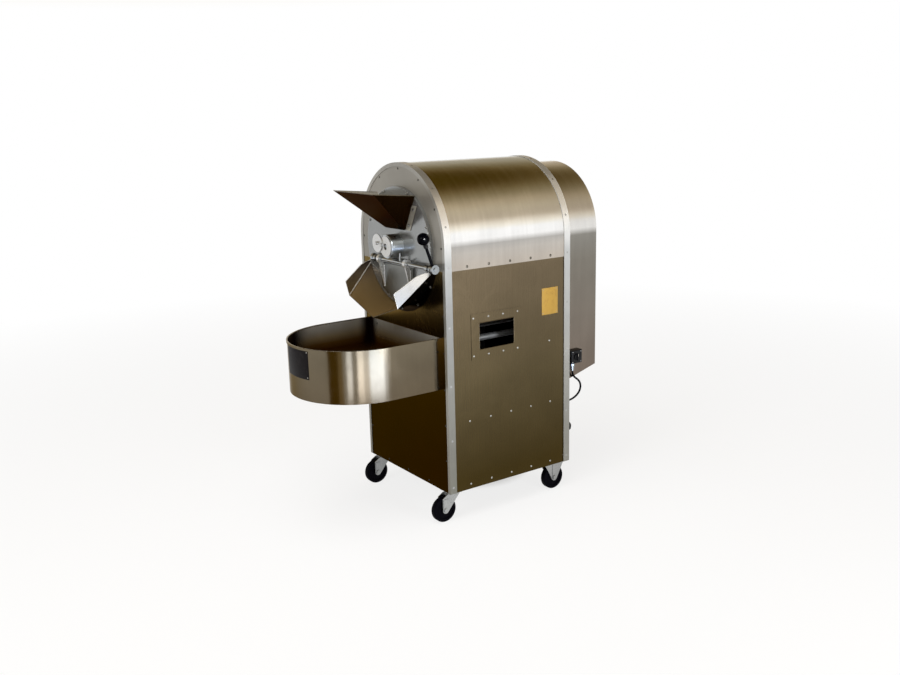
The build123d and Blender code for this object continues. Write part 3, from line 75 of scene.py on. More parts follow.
Nodes = dict[str, Piece]
Colour = tuple[float, float, float]
Point = tuple[float, float, float]
Pair = tuple[float, float]
HeadSize = Pair
Edges = tuple[float, float, float, float]
Seat = tuple[Vector, Vector]
Tones = tuple[tuple[float, Colour], ...]

RIGHT = Vector((1, 0, 0))
FRONT = Vector((0, -1, 0))
BACK = Vector((0, 1, 0))
UP = Vector((0, 0, 1))
DOWN = Vector((0, 0, -1))
SIDES = (-1, 1)


def srgb(red: int, green: int, blue: int) -> Colour:
    """Turn a colour written as on screen into the linear values that shaders take.

    Args:
        red: Red, 0 to 255.
        green: Green.
        blue: Blue.

    Returns:
        The linear colour.
    """
    def linear(value: int) -> float:
        """One channel, by the screen standard's curve: straight near black and a power above."""
        share = value / 255
        return share / 12.92 if share <= 0.04045 else ((share + 0.055) / 1.055) ** 2.4
    return linear(red), linear(green), linear(blue)


# Camera and studio
@dataclass(frozen=True)
class PhotoCamera:
    """Camera that stands where the photograph was taken from."""

    eye: Point = (3.0774, -2.0442, 1.5312)
    azimuth: float = 55.46
    pitch: float = 13.30
    roll: float = -1.44
    lens: float = 37.826
    sensor: float = 36.0
    clip_end: float = 200.0

    def place(self) -> None:
        """Make the camera the scene's own."""
        data = bpy.data.cameras.new("photo_camera")
        data.lens = self.lens
        data.sensor_width = self.sensor
        data.sensor_fit = "HORIZONTAL"
        data.clip_end = self.clip_end
        camera = bpy.data.objects.new("photo_camera", data)
        turn = Matrix.Rotation(math.radians(self.azimuth), 4, "Z")
        tilt = Matrix.Rotation(math.radians(90.0 - self.pitch), 4, "X")
        roll = Matrix.Rotation(math.radians(self.roll), 4, "Z")
        camera.matrix_world = Matrix.Translation(self.eye) @ turn @ tilt @ roll
        bpy.context.scene.collection.objects.link(camera)
        bpy.context.scene.camera = camera


@dataclass(frozen=True)
class SoftBox:
    """A soft studio lamp, out of the camera's sight."""

    name: str
    place: Point
    aim: Point
    width: float
    height: float
    watts: float
    mirrored: bool = True
    lights_matt: bool = True
    tint: Colour = (1.0, 1.0, 1.0)
    only: str = ""

    def hang(self, nodes: Nodes) -> None:
        """Put the lamp up.

        Args:
            nodes: The frame's nodes by name, for a lamp that lights one of them alone.
        """
        data = bpy.data.lights.new(self.name, "AREA")
        data.shape = "RECTANGLE"
        data.size = self.width
        data.size_y = self.height
        data.energy = self.watts
        data.color = self.tint
        lamp = bpy.data.objects.new(self.name, data)
        lamp.location = self.place
        direction = Vector(self.aim) - Vector(self.place)
        lamp.rotation_euler = direction.to_track_quat("-Z", "Y").to_euler()
        lamp.visible_camera = False
        lamp.visible_glossy = self.mirrored
        lamp.visible_diffuse = self.lights_matt
        bpy.context.scene.collection.objects.link(lamp)
        if self.only:
            lit = bpy.data.collections.new(self.name + "_lit")
            lit.objects.link(nodes[self.only])
            lamp.light_linking.receiver_collection = lit


PAN_AXIS = (0.0, -0.3605)
STRIP_REACH = 2.05
STRIP_HEIGHT = 0.34
COOL = (0.84, 0.98, 1.30)
COLD = (0.84, 1.05, 1.52)
PLAIN = (0.84, 0.90, 1.08)


def pan_strip(name: str, start: float, end: float, brightness: float, tint: Colour = COOL) -> SoftBox:
    """Upright strip lamp that only the shiny pan shows.

    Args:
        name: The lamp's name.
        start: Direction from the pan's middle to one edge, in degrees from the right.
        end: Direction to the other edge.
        brightness: How bright its face is.
        tint: Colour of its light.

    Returns:
        The lamp.
    """
    middle = math.radians((start + end) / 2)
    width = 2 * STRIP_REACH * math.tan(math.radians((end - start) / 2))
    level = STRIP_HEIGHT / 2
    x = PAN_AXIS[0] + STRIP_REACH * math.cos(middle)
    y = PAN_AXIS[1] + STRIP_REACH * math.sin(middle)
    watts = math.pi * brightness * width * STRIP_HEIGHT
    return SoftBox(name, (x, y, level), (*PAN_AXIS, level), width, STRIP_HEIGHT, watts, lights_matt=False,
                   tint=tint)


@dataclass(frozen=True)
class Card:
    """A toned card that only shiny metal shows, as photographers use."""

    name: str
    middle: Point
    aim: Point
    width: float
    height: float
    tone: Colour

    def stand(self) -> None:
        """Put the card up."""
        out = (Vector(self.aim) - Vector(self.middle)).normalized()
        across = out.cross(UP).normalized() * (self.width / 2)
        rise = UP * (self.height / 2)
        middle = Vector(self.middle)
        corners = [middle + across * a + rise * b for a, b in ((-1, -1), (1, -1), (1, 1), (-1, 1))]
        mesh = bpy.data.meshes.new(self.name)
        mesh.from_pydata(corners, [], [(0, 1, 2, 3)])
        material, tree, output = blank_material(self.name)
        face = add_node(tree, "ShaderNodeEmission", {"Color": (*self.tone, 1.0), "Strength": 1.0})
        tree.links.new(face.outputs[0], output.inputs["Surface"])
        mesh.materials.append(material)
        card = link(self.name, mesh)
        card.visible_camera = False
        card.visible_diffuse = False
        card.visible_shadow = False


@dataclass(frozen=True)
class Studio:
    """Pale floor, a room that is bright at eye level and dark overhead, and soft lamps."""

    floor_half: float = 60.0
    floor_white: Colour = (0.88, 0.88, 0.88)
    near_lift: float = 0.80
    lift_reach: Pair = (1.3, 5.0)
    # A painted shade spot on the floor under the cabinet: round this middle the floor's whitening is lowered.
    shade_middle: Point = (-0.12, 0.27, 0.0)
    shade_reach: Pair = (0.08, 0.24)
    shade_lift: float = 0.08
    room_tones: Tones = (
        (0.13, (1.0, 1.0, 1.0)),
        (0.174, (0.934, 0.88, 0.76)),
        (0.244, (0.82, 0.73, 0.60)),
        (0.29, (0.62, 0.53, 0.41)),
        (0.313, (0.554, 0.464, 0.349)),
        (0.358, (0.511, 0.43, 0.32)),
        (0.467, (0.505, 0.425, 0.30)),
        (0.57, (0.42, 0.335, 0.215)),
        (0.66, (0.25, 0.195, 0.105)),
        (0.735, (0.15, 0.104, 0.04)),
        (0.79, (0.08, 0.046, 0.009)),
        (0.825, (0.05, 0.028, 0.001)),
    )
    room_lean: float = -0.25
    lamps: tuple[SoftBox, ...] = (
        SoftBox("overhead", (0.6, -1.2, 4.2), (0.0, -0.1, 0.6), 3.0, 3.0, 110.0, mirrored=False),
        SoftBox("window_side", (3.4, 0.6, 0.9), (0.0, 0.0, 0.8), 0.7, 1.7, 40.0),
        SoftBox("operator_side", (1.2, -3.4, 2.6), (0.0, -0.2, 0.9), 1.4, 1.0, 45.0),
        SoftBox("cheek_strip", (2.05, 0.0, 0.47), (0.0, -0.2, 0.92), 0.9, 0.22, 3.7, lights_matt=False,
                tint=(0.98, 1.0, 1.03)),
        SoftBox("catch_light", (2.41, -0.76, 1.40), (0.276, -0.2256, 1.1156), 0.8, 0.7, 700.0,
                lights_matt=False, only="lever_knob"),
        pan_strip("pan_strip_left", -44.5, -36.5, 4.6),
        pan_strip("pan_strip_middle", -28.0, -18.5, 6.4, PLAIN),
        pan_strip("pan_strip_dim", -18.5, -9.0, 3.1, PLAIN),
        pan_strip("pan_strip_right", -9.0, 15.0, 7.0, COLD),
        pan_strip("pan_strip_end", 15.0, 21.0, 2.2, COLD),
    )
    cards: tuple[Card, ...] = (
        Card("pan_card", (0.447, -1.260, 0.36), (*PAN_AXIS, 0.63), 0.27, 0.62, (0.25, 0.145, 0.004)),
        Card("pan_card_edge", (0.625, -1.178, 0.36), (*PAN_AXIS, 0.63), 0.12, 0.62, (0.62, 0.47, 0.22)),
    )

    def build(self, nodes: Nodes) -> None:
        """Make the floor, the room and the lamps.

        Args:
            nodes: The frame's nodes by name.
        """
        bpy.context.scene.view_settings.view_transform = "Standard"
        self.floor()
        self.room()
        for lamp in self.lamps:
            lamp.hang(nodes)
        for card in self.cards:
            card.stand()

    def floor(self) -> None:
        """Lay a plain pale floor that keeps the machine's shadow, with a painted shade spot under the cabinet."""
        half = self.floor_half
        corners = [(-half, -half, 0), (half, -half, 0), (half, half, 0), (-half, half, 0)]
        mesh = bpy.data.meshes.new("floor")
        mesh.from_pydata(corners, [], [(0, 1, 2, 3)])
        floor = link("floor", mesh)
        material, tree, output = blank_material("pale floor")
        plain = add_node(tree, "ShaderNodeBsdfDiffuse", {"Color": (*self.floor_white, 1)})
        glow = add_node(tree, "ShaderNodeEmission", {"Color": (1, 1, 1, 1), "Strength": 1.0})
        path = add_node(tree, "ShaderNodeLightPath").outputs
        straight = maths(tree, "MAXIMUM", path["Is Camera Ray"], path["Is Glossy Ray"])
        seen = maths(tree, "MAXIMUM", straight, path["Is Transmission Ray"])
        spot = add_node(tree, "ShaderNodeTexCoord").outputs["Object"]
        white = remap(tree, vector_maths(tree, "LENGTH", spot), self.lift_reach, (self.near_lift, 1.0))
        # Painted shade: the floor darkens round a spot under the cabinet.
        under = vector_maths(tree, "DISTANCE", spot, self.shade_middle)
        shade = remap(tree, under, self.shade_reach, (self.shade_lift, 1.0))
        lift = maths(tree, "MULTIPLY", seen, maths(tree, "MULTIPLY", white, shade))
        mix = add_node(tree, "ShaderNodeMixShader", {0: lift, 1: plain.outputs[0], 2: glow.outputs[0]})
        tree.links.new(mix.outputs[0], output.inputs["Surface"])
        mesh.materials.append(material)

    def room(self) -> None:
        """Light the room from its walls, by height, and a little higher on the left."""
        world = bpy.data.worlds.new("room")
        world.use_nodes = True
        bpy.context.scene.world = world
        tree = world.node_tree
        tree.nodes.clear()
        spot = add_node(tree, "ShaderNodeTexCoord")
        split = add_node(tree, "ShaderNodeSeparateXYZ", {0: spot.outputs["Generated"]})
        lean = maths(tree, "MULTIPLY_ADD", split.outputs["X"], self.room_lean, 1.0)
        ramp = add_node(tree, "ShaderNodeValToRGB", {0: maths(tree, "MULTIPLY", split.outputs["Z"], lean)})
        set_ramp(ramp, self.room_tones)
        light = add_node(tree, "ShaderNodeBackground", {"Color": ramp.outputs["Color"], "Strength": 1.0})
        output = add_node(tree, "ShaderNodeOutputWorld", {"Surface": light.outputs[0]})
        output.is_active_output = True


# Shader tools
NUMBER_OPERATIONS = ("LENGTH", "DISTANCE", "DOT_PRODUCT")
# A Mix node has sockets for numbers, vectors and colours; these are the ones for colours.
MIX_FIRST = 6
MIX_SECOND = 7
MIX_RESULT = 2


def add_node(tree: Tree, kind: str, inputs: dict | None = None, **settings: object) -> Node:
    """Add a node, set it up and join its inputs.

    Args:
        tree: Node tree that gets the node.
        kind: Blender's name for the node type.
        inputs: Values or output sockets, by the name or number of the input that takes them.
        settings: Properties of the node itself.

    Returns:
        The new node.
    """
    node = tree.nodes.new(kind)
    for name, value in settings.items():
        setattr(node, name, value)
    for key, value in (inputs or {}).items():
        if isinstance(value, Socket):
            tree.links.new(value, node.inputs[key])
        else:
            node.inputs[key].default_value = value
    return node


def maths(tree: Tree, operation: str, *values: object) -> Socket:
    """Socket with the result of a step of arithmetic on numbers or sockets."""
    return add_node(tree, "ShaderNodeMath", dict(enumerate(values)), operation=operation).outputs[0]


def vector_maths(tree: Tree, operation: str, *values: object) -> Socket:
    """Socket with the result of a step of vector arithmetic."""
    node = add_node(tree, "ShaderNodeVectorMath", dict(enumerate(values)), operation=operation)
    return node.outputs["Value" if operation in NUMBER_OPERATIONS else "Vector"]


def remap(tree: Tree, value: Socket, span: Sequence, to: Pair = (0.0, 1.0), **settings: object) -> Socket:
    """Carry a value over from one range to another, held at the ends.

    Args:
        tree: Node tree that gets the node.
        value: Socket with the value.
        span: Range that the value comes from, as numbers or sockets.
        to: Range that it goes to.
        settings: Properties of the node itself.

    Returns:
        Socket with the result.
    """
    ends = {"From Min": span[0], "From Max": span[1], "To Min": to[0], "To Max": to[1]}
    return add_node(tree, "ShaderNodeMapRange", {"Value": value, **ends}, **settings).outputs["Result"]


def around(value: float, share: float) -> Pair:
    """Range that goes a share below and above a value."""
    return value * (1 - share), value * (1 + share)


def set_ramp(node: Node, stops: Sequence[tuple[float, Colour]]) -> None:
    """Give a colour ramp its stops.

    Args:
        node: Colour ramp node.
        stops: Position and colour of each stop, in order.
    """
    elements = node.color_ramp.elements
    while len(elements) < len(stops):
        elements.new(1.0)
    for element, (position, colour) in zip(elements, stops):
        element.position = position
        element.color = (*colour, 1.0)


def blank_material(name: str) -> tuple[bpy.types.Material, Tree, Node]:
    """Start a material with an output and nothing else.

    Args:
        name: The material's name.

    Returns:
        The material, its tree and its output node.
    """
    material = bpy.data.materials.new(name)
    material.use_nodes = True
    tree = material.node_tree
    tree.nodes.clear()
    output = add_node(tree, "ShaderNodeOutputMaterial")
    return material, tree, output


def mix_colours(tree: Tree, share: Socket, first: Colour | Socket, second: Colour | Socket) -> Socket:
    """Blend two colours.

    Args:
        tree: The material's tree.
        share: Socket with the share of the second colour.
        first: Colour or socket at a share of 0.
        second: Colour or socket at a share of 1.

    Returns:
        Socket with the blended colour.
    """
    inputs = {0: share}
    for number, colour in ((MIX_FIRST, first), (MIX_SECOND, second)):
        inputs[number] = colour if isinstance(colour, Socket) else (*colour, 1.0)
    return add_node(tree, "ShaderNodeMix", inputs, data_type="RGBA").outputs[MIX_RESULT]


class SharedEffects:
    """Node groups that several finishes use, each built once."""

    cloud_scale: float = 4.5
    ring_scale: float = 700.0
    smear_span: Pair = (0.52, 0.72)
    facing_span: Pair = (-0.06, -0.04)
    painted_shade_rise: float = 0.04

    def __init__(self) -> None:
        """Build the groups."""
        self.grain = self.build_grain()
        self.turned = self.build_turned()
        self.marks = self.build_marks()
        self.fade = self.build_fade()
        self.inside = self.build_inside()
        self.painted_shade = self.build_painted_shade()

    @staticmethod
    def start(name: str, vectors: Sequence[str], numbers: Sequence[str],
              outputs: Sequence[str]) -> tuple[Tree, bpy.types.NodeOutputs, bpy.types.NodeInputs]:
        """Start a shader group.

        Args:
            name: The group's name.
            vectors: Names of its vector inputs.
            numbers: Names of its plain inputs.
            outputs: Names of the outputs, all plain values.

        Returns:
            The group, the sockets that it is given and the sockets that it fills.
        """
        group = bpy.data.node_groups.new(name, "ShaderNodeTree")
        for labels, kind in ((vectors, "NodeSocketVector"), (numbers, "NodeSocketFloat")):
            for label in labels:
                group.interface.new_socket(label, in_out="INPUT", socket_type=kind)
        for label in outputs:
            group.interface.new_socket(label, in_out="OUTPUT", socket_type="NodeSocketFloat")
        return group, group.nodes.new("NodeGroupInput").outputs, group.nodes.new("NodeGroupOutput").inputs

    def cloud(self, group: Tree, vector: Socket) -> Socket:
        """Broad, soft unevenness of rolled sheet."""
        noise = {"Vector": vector, "Scale": self.cloud_scale, "Detail": 3.0, "Roughness": 0.5}
        return add_node(group, "ShaderNodeTexNoise", noise).outputs["Fac"]

    def build_grain(self) -> Tree:
        """Straight brushed lines and broad clouding of rolled sheet.

        Returns:
            The group.
        """
        group, given, filled = self.start("Brushed grain", ("Vector", "Stretch"), (), ("Lines", "Cloud"))
        stretched = vector_maths(group, "MULTIPLY", given["Vector"], given["Stretch"])
        lines = add_node(group, "ShaderNodeTexNoise",
                         {"Vector": stretched, "Scale": 1.0, "Detail": 3.0, "Roughness": 0.65})
        group.links.new(lines.outputs["Fac"], filled["Lines"])
        group.links.new(self.cloud(group, given["Vector"]), filled["Cloud"])
        return group

    def build_turned(self) -> Tree:
        """Rings left by a lathe about an axis along Y, and broad clouding.

        Returns:
            The group.
        """
        group, given, filled = self.start("Turned grain", ("Vector", "Centre"), (), ("Lines", "Cloud"))
        offset = vector_maths(group, "SUBTRACT", given["Vector"], given["Centre"])
        radius = vector_maths(group, "LENGTH", vector_maths(group, "MULTIPLY", offset, (1.0, 0.0, 1.0)))
        lines = add_node(group, "ShaderNodeTexNoise", {"W": radius, "Scale": self.ring_scale, "Detail": 3.0},
                         noise_dimensions="1D")
        group.links.new(lines.outputs["Fac"], filled["Lines"])
        group.links.new(self.cloud(group, given["Vector"]), filled["Cloud"])
        return group

    def build_marks(self) -> Tree:
        """Wiped smears and finger marks, as a mask.

        Returns:
            The group.
        """
        group, given, filled = self.start("Handling marks", ("Vector",), ("Scale",), ("Mask",))
        smear = add_node(group, "ShaderNodeTexNoise",
                         {"Vector": given["Vector"], "Scale": given["Scale"], "Detail": 5.0,
                          "Roughness": 0.62, "Distortion": 1.4})
        group.links.new(remap(group, smear.outputs["Fac"], self.smear_span), filled["Mask"])
        return group

    def build_fade(self) -> Tree:
        """Share of the way from a low height to a high one.

        Returns:
            The group.
        """
        group, given, filled = self.start("Height fade", ("Vector",), ("Low", "High"), ("Share",))
        split = add_node(group, "ShaderNodeSeparateXYZ", {0: given["Vector"]})
        group.links.new(remap(group, split.outputs["Z"], (given["Low"], given["High"])), filled["Share"])
        return group

    def build_inside(self) -> Tree:
        """Mask of the faces that look towards a middle line or a given direction.

        Returns:
            The group.
        """
        vectors = ("Vector", "Normal", "Centre", "Spread", "Lean")
        group, given, filled = self.start("Inside faces", vectors, (), ("Mask",))
        inward = vector_maths(group, "SUBTRACT", given["Centre"], given["Vector"])
        aim = vector_maths(group, "MULTIPLY_ADD", inward, given["Spread"], given["Lean"])
        facing = vector_maths(group, "DOT_PRODUCT", given["Normal"], aim)
        group.links.new(remap(group, facing, self.facing_span), filled["Mask"])
        return group

    def build_painted_shade(self) -> Tree:
        """Mask of painted shade: strong near an upright line, fading out away from it and towards its foot.

        Returns:
            The group.
        """
        group, given, filled = self.start("Upright painted shade", ("Vector", "Line"), ("Solid", "Reach"), ("Mask",))
        offset = vector_maths(group, "SUBTRACT", given["Vector"], given["Line"])
        away = vector_maths(group, "LENGTH", vector_maths(group, "MULTIPLY", offset, (1.0, 1.0, 0.0)))
        near = remap(group, away, (given["Reach"], given["Solid"]), interpolation_type="SMOOTHSTEP")
        rise = add_node(group, "ShaderNodeSeparateXYZ", {0: offset}).outputs["Z"]
        above = remap(group, rise, (0.0, self.painted_shade_rise))
        group.links.new(maths(group, "MULTIPLY", near, above), filled["Mask"])
        return group


@dataclass(frozen=True)
class Paint:
    """A material in the making: its tree, the coordinates of its points and the shared groups."""

    tree: Tree
    place: Node
    effects: SharedEffects

    def group(self, kind: Tree, inputs: dict) -> Node:
        """Add a shared group, joined to the points' places, and set its other inputs."""
        inputs = {"Vector": self.place.outputs["Object"], **inputs}
        return add_node(self.tree, "ShaderNodeGroup", inputs, node_tree=kind)

    def height_tone(self, tones: Tones) -> Socket:
        """Colour that changes with height.

        Args:
            tones: Height in metres and colour of each stop, from low to high.

        Returns:
            Socket with the colour.
        """
        low, high = tones[0][0], tones[-1][0]
        fade = self.group(self.effects.fade, {"Low": low, "High": high})
        ramp = add_node(self.tree, "ShaderNodeValToRGB", {0: fade.outputs["Share"]})
        set_ramp(ramp, [((height - low) / (high - low), colour) for height, colour in tones])
        return ramp.outputs["Color"]


# Finishes
class Grain(Enum):
    """Direction of a metal's brushed lines, as the noise density along each axis, in cycles per metre."""

    ALONG_X = (5.0, 900.0, 900.0)
    ALONG_Y = (900.0, 5.0, 900.0)
    ALONG_Z = (900.0, 900.0, 5.0)
    CAST = (320.0, 320.0, 320.0)
    ROUND_Y = (2.5, 55.0, 2.5)


LINE_SPAN = (0.25, 0.75)
CLOUD_SPAN = (0.3, 0.7)
FINE_RELIEF = 0.001
METAL_SMEARS = 7.0
ACROSS_RINGS = 0.25
LOW_STOP = 0.1
HIGH_STOP = 1.3


def by_height(*stops: tuple[float, int, int, int]) -> Tones:
    """Tones from heights in metres, each with a colour as on screen."""
    return tuple((height, srgb(*colour)) for height, *colour in stops)


def even(red: int, green: int, blue: int, change: float = 0.06) -> Tones:
    """Nearly one colour all over, a touch darker near the floor.

    Args:
        red: Red as on screen, 0 to 255.
        green: Green.
        blue: Blue.
        change: How much darker at the floor and lighter at the top.

    Returns:
        The tones.
    """
    colour = srgb(red, green, blue)
    stops = zip((LOW_STOP, HIGH_STOP), around(1.0, change))
    return tuple((height, tuple(part * share for part in colour)) for height, share in stops)


@dataclass(frozen=True)
class PaintedShade:
    """Painted shade about an upright line, above its foot."""

    line: Point
    solid: float
    reach: float
    colour: Colour

    def over(self, paint: Paint, tone: Socket) -> Socket:
        """Lay the painted shade over a colour.

        Args:
            paint: The material in the making.
            tone: Socket with the colour without the shade.

        Returns:
            Socket with the shaded colour.
        """
        inputs = {"Line": self.line, "Solid": self.solid, "Reach": self.reach}
        mask = paint.group(paint.effects.painted_shade, inputs).outputs["Mask"]
        return mix_colours(paint.tree, mask, tone, self.colour)


@dataclass(frozen=True)
class Patch:
    """Faces with a tone of their own: those that look towards a middle, or along a direction."""

    tones: Tones
    metal: float = 1.0
    centre: Point = (0.0, 0.0, 0.0)
    spread: Point = (0.0, 0.0, 0.0)
    lean: Point = (0.0, 0.0, 0.0)
    painted_shades: tuple[PaintedShade, ...] = ()

    def colour(self, paint: Paint) -> Socket:
        """Tone of these faces, painted shade and all.

        Args:
            paint: The material in the making.

        Returns:
            Socket with the colour.
        """
        tone = paint.height_tone(self.tones)
        for painted_shade in self.painted_shades:
            tone = painted_shade.over(paint, tone)
        return tone

    def mask(self, paint: Paint) -> Socket:
        """Socket that is 1 on these faces."""
        inputs = {"Normal": paint.place.outputs["Normal"], "Centre": self.centre, "Spread": self.spread,
                  "Lean": self.lean}
        return paint.group(paint.effects.inside, inputs).outputs["Mask"]


@dataclass(frozen=True)
class MetalFinish:
    """Bare metal with brushed or turned lines, clouding, smears and a tone that changes with height."""

    name: str
    tones: Tones
    roughness: float
    grain: Grain = Grain.CAST
    metal: float = 1.0
    line_depth: float = 0.06
    cloud_depth: float = 0.10
    bump: float = 0.012
    wave: float = 0.0
    smear: float = 0.05
    edge: Colour = (1.0, 1.0, 1.0)
    patches: tuple[Patch, ...] = ()
    turned_about: Point | None = None
    streak: float = 0.0
    varies: float = 0.2

    def material(self, effects: SharedEffects) -> bpy.types.Material:
        """Build the material.

        Args:
            effects: The shared node groups.

        Returns:
            A material for this finish.
        """
        material, tree, output = blank_material(self.name)
        paint = Paint(tree, add_node(tree, "ShaderNodeTexCoord"), effects)
        grain = self.lines(paint)
        tone = paint.height_tone(self.tones)
        metal: float | Socket = self.metal
        for patch in self.patches:
            mask = patch.mask(paint)
            tone = mix_colours(tree, mask, tone, patch.colour(paint))
            if patch.metal != self.metal:
                shares = {"Factor": mask, "A": metal, "B": patch.metal}
                metal = add_node(tree, "ShaderNodeMix", shares, data_type="FLOAT").outputs["Result"]
        colour = add_node(tree, "ShaderNodeVectorMath", {0: tone, "Scale": self.shade(tree, grain)},
                          operation="SCALE")
        skin = add_node(tree, "ShaderNodeBsdfPrincipled",
                        {"Base Color": colour.outputs[0], "Metallic": metal,
                         "Roughness": self.rough(paint, grain), "Specular Tint": (*self.edge, 1.0),
                         "Normal": self.relief(tree, grain)})
        if self.streak and self.turned_about:
            self.spread(paint, skin)
        tree.links.new(skin.outputs[0], output.inputs["Surface"])
        return material

    def spread(self, paint: Paint, skin: Node) -> None:
        """Draw highlights out across the lathe's rings.

        Args:
            paint: The material in the making.
            skin: Its shader.
        """
        offset = vector_maths(paint.tree, "SUBTRACT", paint.place.outputs["Object"], self.turned_about)
        rings = vector_maths(paint.tree, "CROSS_PRODUCT", (0.0, 1.0, 0.0), offset)
        paint.tree.links.new(rings, skin.inputs["Tangent"])
        skin.inputs["Anisotropic"].default_value = self.streak
        skin.inputs["Anisotropic Rotation"].default_value = ACROSS_RINGS

    def relief(self, tree: Tree, grain: Node) -> Socket:
        """Normal of the sheet's waves, where it has any, and of its fine lines.

        Args:
            tree: The material's tree.
            grain: The grain group's node.

        Returns:
            Socket with the normal.
        """
        fine = add_node(tree, "ShaderNodeBump",
                        {"Strength": self.bump, "Distance": FINE_RELIEF, "Height": grain.outputs["Lines"]})
        if self.wave:
            waves = add_node(tree, "ShaderNodeBump",
                             {"Strength": 1.0, "Distance": self.wave, "Height": grain.outputs["Cloud"]})
            tree.links.new(waves.outputs["Normal"], fine.inputs["Normal"])
        return fine.outputs["Normal"]

    def lines(self, paint: Paint) -> Node:
        """Place the grain group that this finish uses.

        Args:
            paint: The material in the making.

        Returns:
            The group's node.
        """
        if self.turned_about is not None:
            return paint.group(paint.effects.turned, {"Centre": self.turned_about})
        return paint.group(paint.effects.grain, {"Stretch": self.grain.value})

    def shade(self, tree: Tree, grain: Node) -> Socket:
        """Brightness factor from the lines and the clouding.

        Args:
            tree: The material's tree.
            grain: The grain group's node.

        Returns:
            Socket with a factor about 1.
        """
        lines = remap(tree, grain.outputs["Lines"], LINE_SPAN, around(1.0, self.line_depth))
        cloud = remap(tree, grain.outputs["Cloud"], CLOUD_SPAN, around(1.0, self.cloud_depth))
        return maths(tree, "MULTIPLY", lines, cloud)

    def rough(self, paint: Paint, grain: Node) -> Socket:
        """Roughness from the lines and the smears.

        Args:
            paint: The material in the making.
            grain: The grain group's node.

        Returns:
            Socket with the roughness.
        """
        marks = paint.group(paint.effects.marks, {"Scale": METAL_SMEARS})
        lines = remap(paint.tree, grain.outputs["Lines"], LINE_SPAN, around(self.roughness, self.varies))
        return maths(paint.tree, "MULTIPLY_ADD", marks.outputs["Mask"], self.smear, lines)


@dataclass(frozen=True)
class DullFinish:
    """Plastic, rubber or paint with a fine grain, scuffs and a little unevenness."""

    name: str
    colour: Colour
    scuffed: Colour
    roughness: float
    shine: float = 0.25
    grain: float = 700.0
    bump: float = 0.05
    marks_scale: float = 40.0
    varies: float = 0.15

    def material(self, effects: SharedEffects) -> bpy.types.Material:
        """Build the material.

        Args:
            effects: The shared node groups.

        Returns:
            A material for this finish.
        """
        material, tree, output = blank_material(self.name)
        paint = Paint(tree, add_node(tree, "ShaderNodeTexCoord"), effects)
        grain = add_node(tree, "ShaderNodeTexNoise",
                         {"Vector": paint.place.outputs["Object"], "Scale": self.grain, "Detail": 2.0})
        marks = paint.group(effects.marks, {"Scale": self.marks_scale})
        colour = mix_colours(tree, marks.outputs["Mask"], self.colour, self.scuffed)
        rough = remap(tree, grain.outputs["Fac"], CLOUD_SPAN, around(self.roughness, self.varies))
        bump = add_node(tree, "ShaderNodeBump",
                        {"Strength": self.bump, "Distance": FINE_RELIEF, "Height": grain.outputs["Fac"]})
        skin = add_node(tree, "ShaderNodeBsdfPrincipled",
                        {"Base Color": colour, "Roughness": rough, "Specular IOR Level": self.shine,
                         "Normal": bump.outputs["Normal"]})
        tree.links.new(skin.outputs[0], output.inputs["Surface"])
        return material


Finish = MetalFinish | DullFinish
ARCH_Z = 1.0593
DRUM_AXIS = (0.0, 0.0, 1.0463)
LID_AXIS = (-0.05515, 0.0, 1.05602)
SOOT = even(42, 35, 30, change=0.2)
SIDE_INSIDE = Patch(SOOT, spread=(1.0, 0.0, 0.0))
END_INSIDE = Patch(SOOT, centre=(0.0, 0.15, 0.0), spread=(0.0, 1.0, 0.0))
# Painted reflection: the side and rear sheets get a dark brown tone, darker towards the floor, in place of the
# reflection of a dark floor; their brown edge tint darkens their grazing reflections the same way.
PANEL_REFLECTION_TONES = by_height((0.16, 66, 54, 27), (0.55, 92, 81, 58), (1.0, 112, 99, 79))


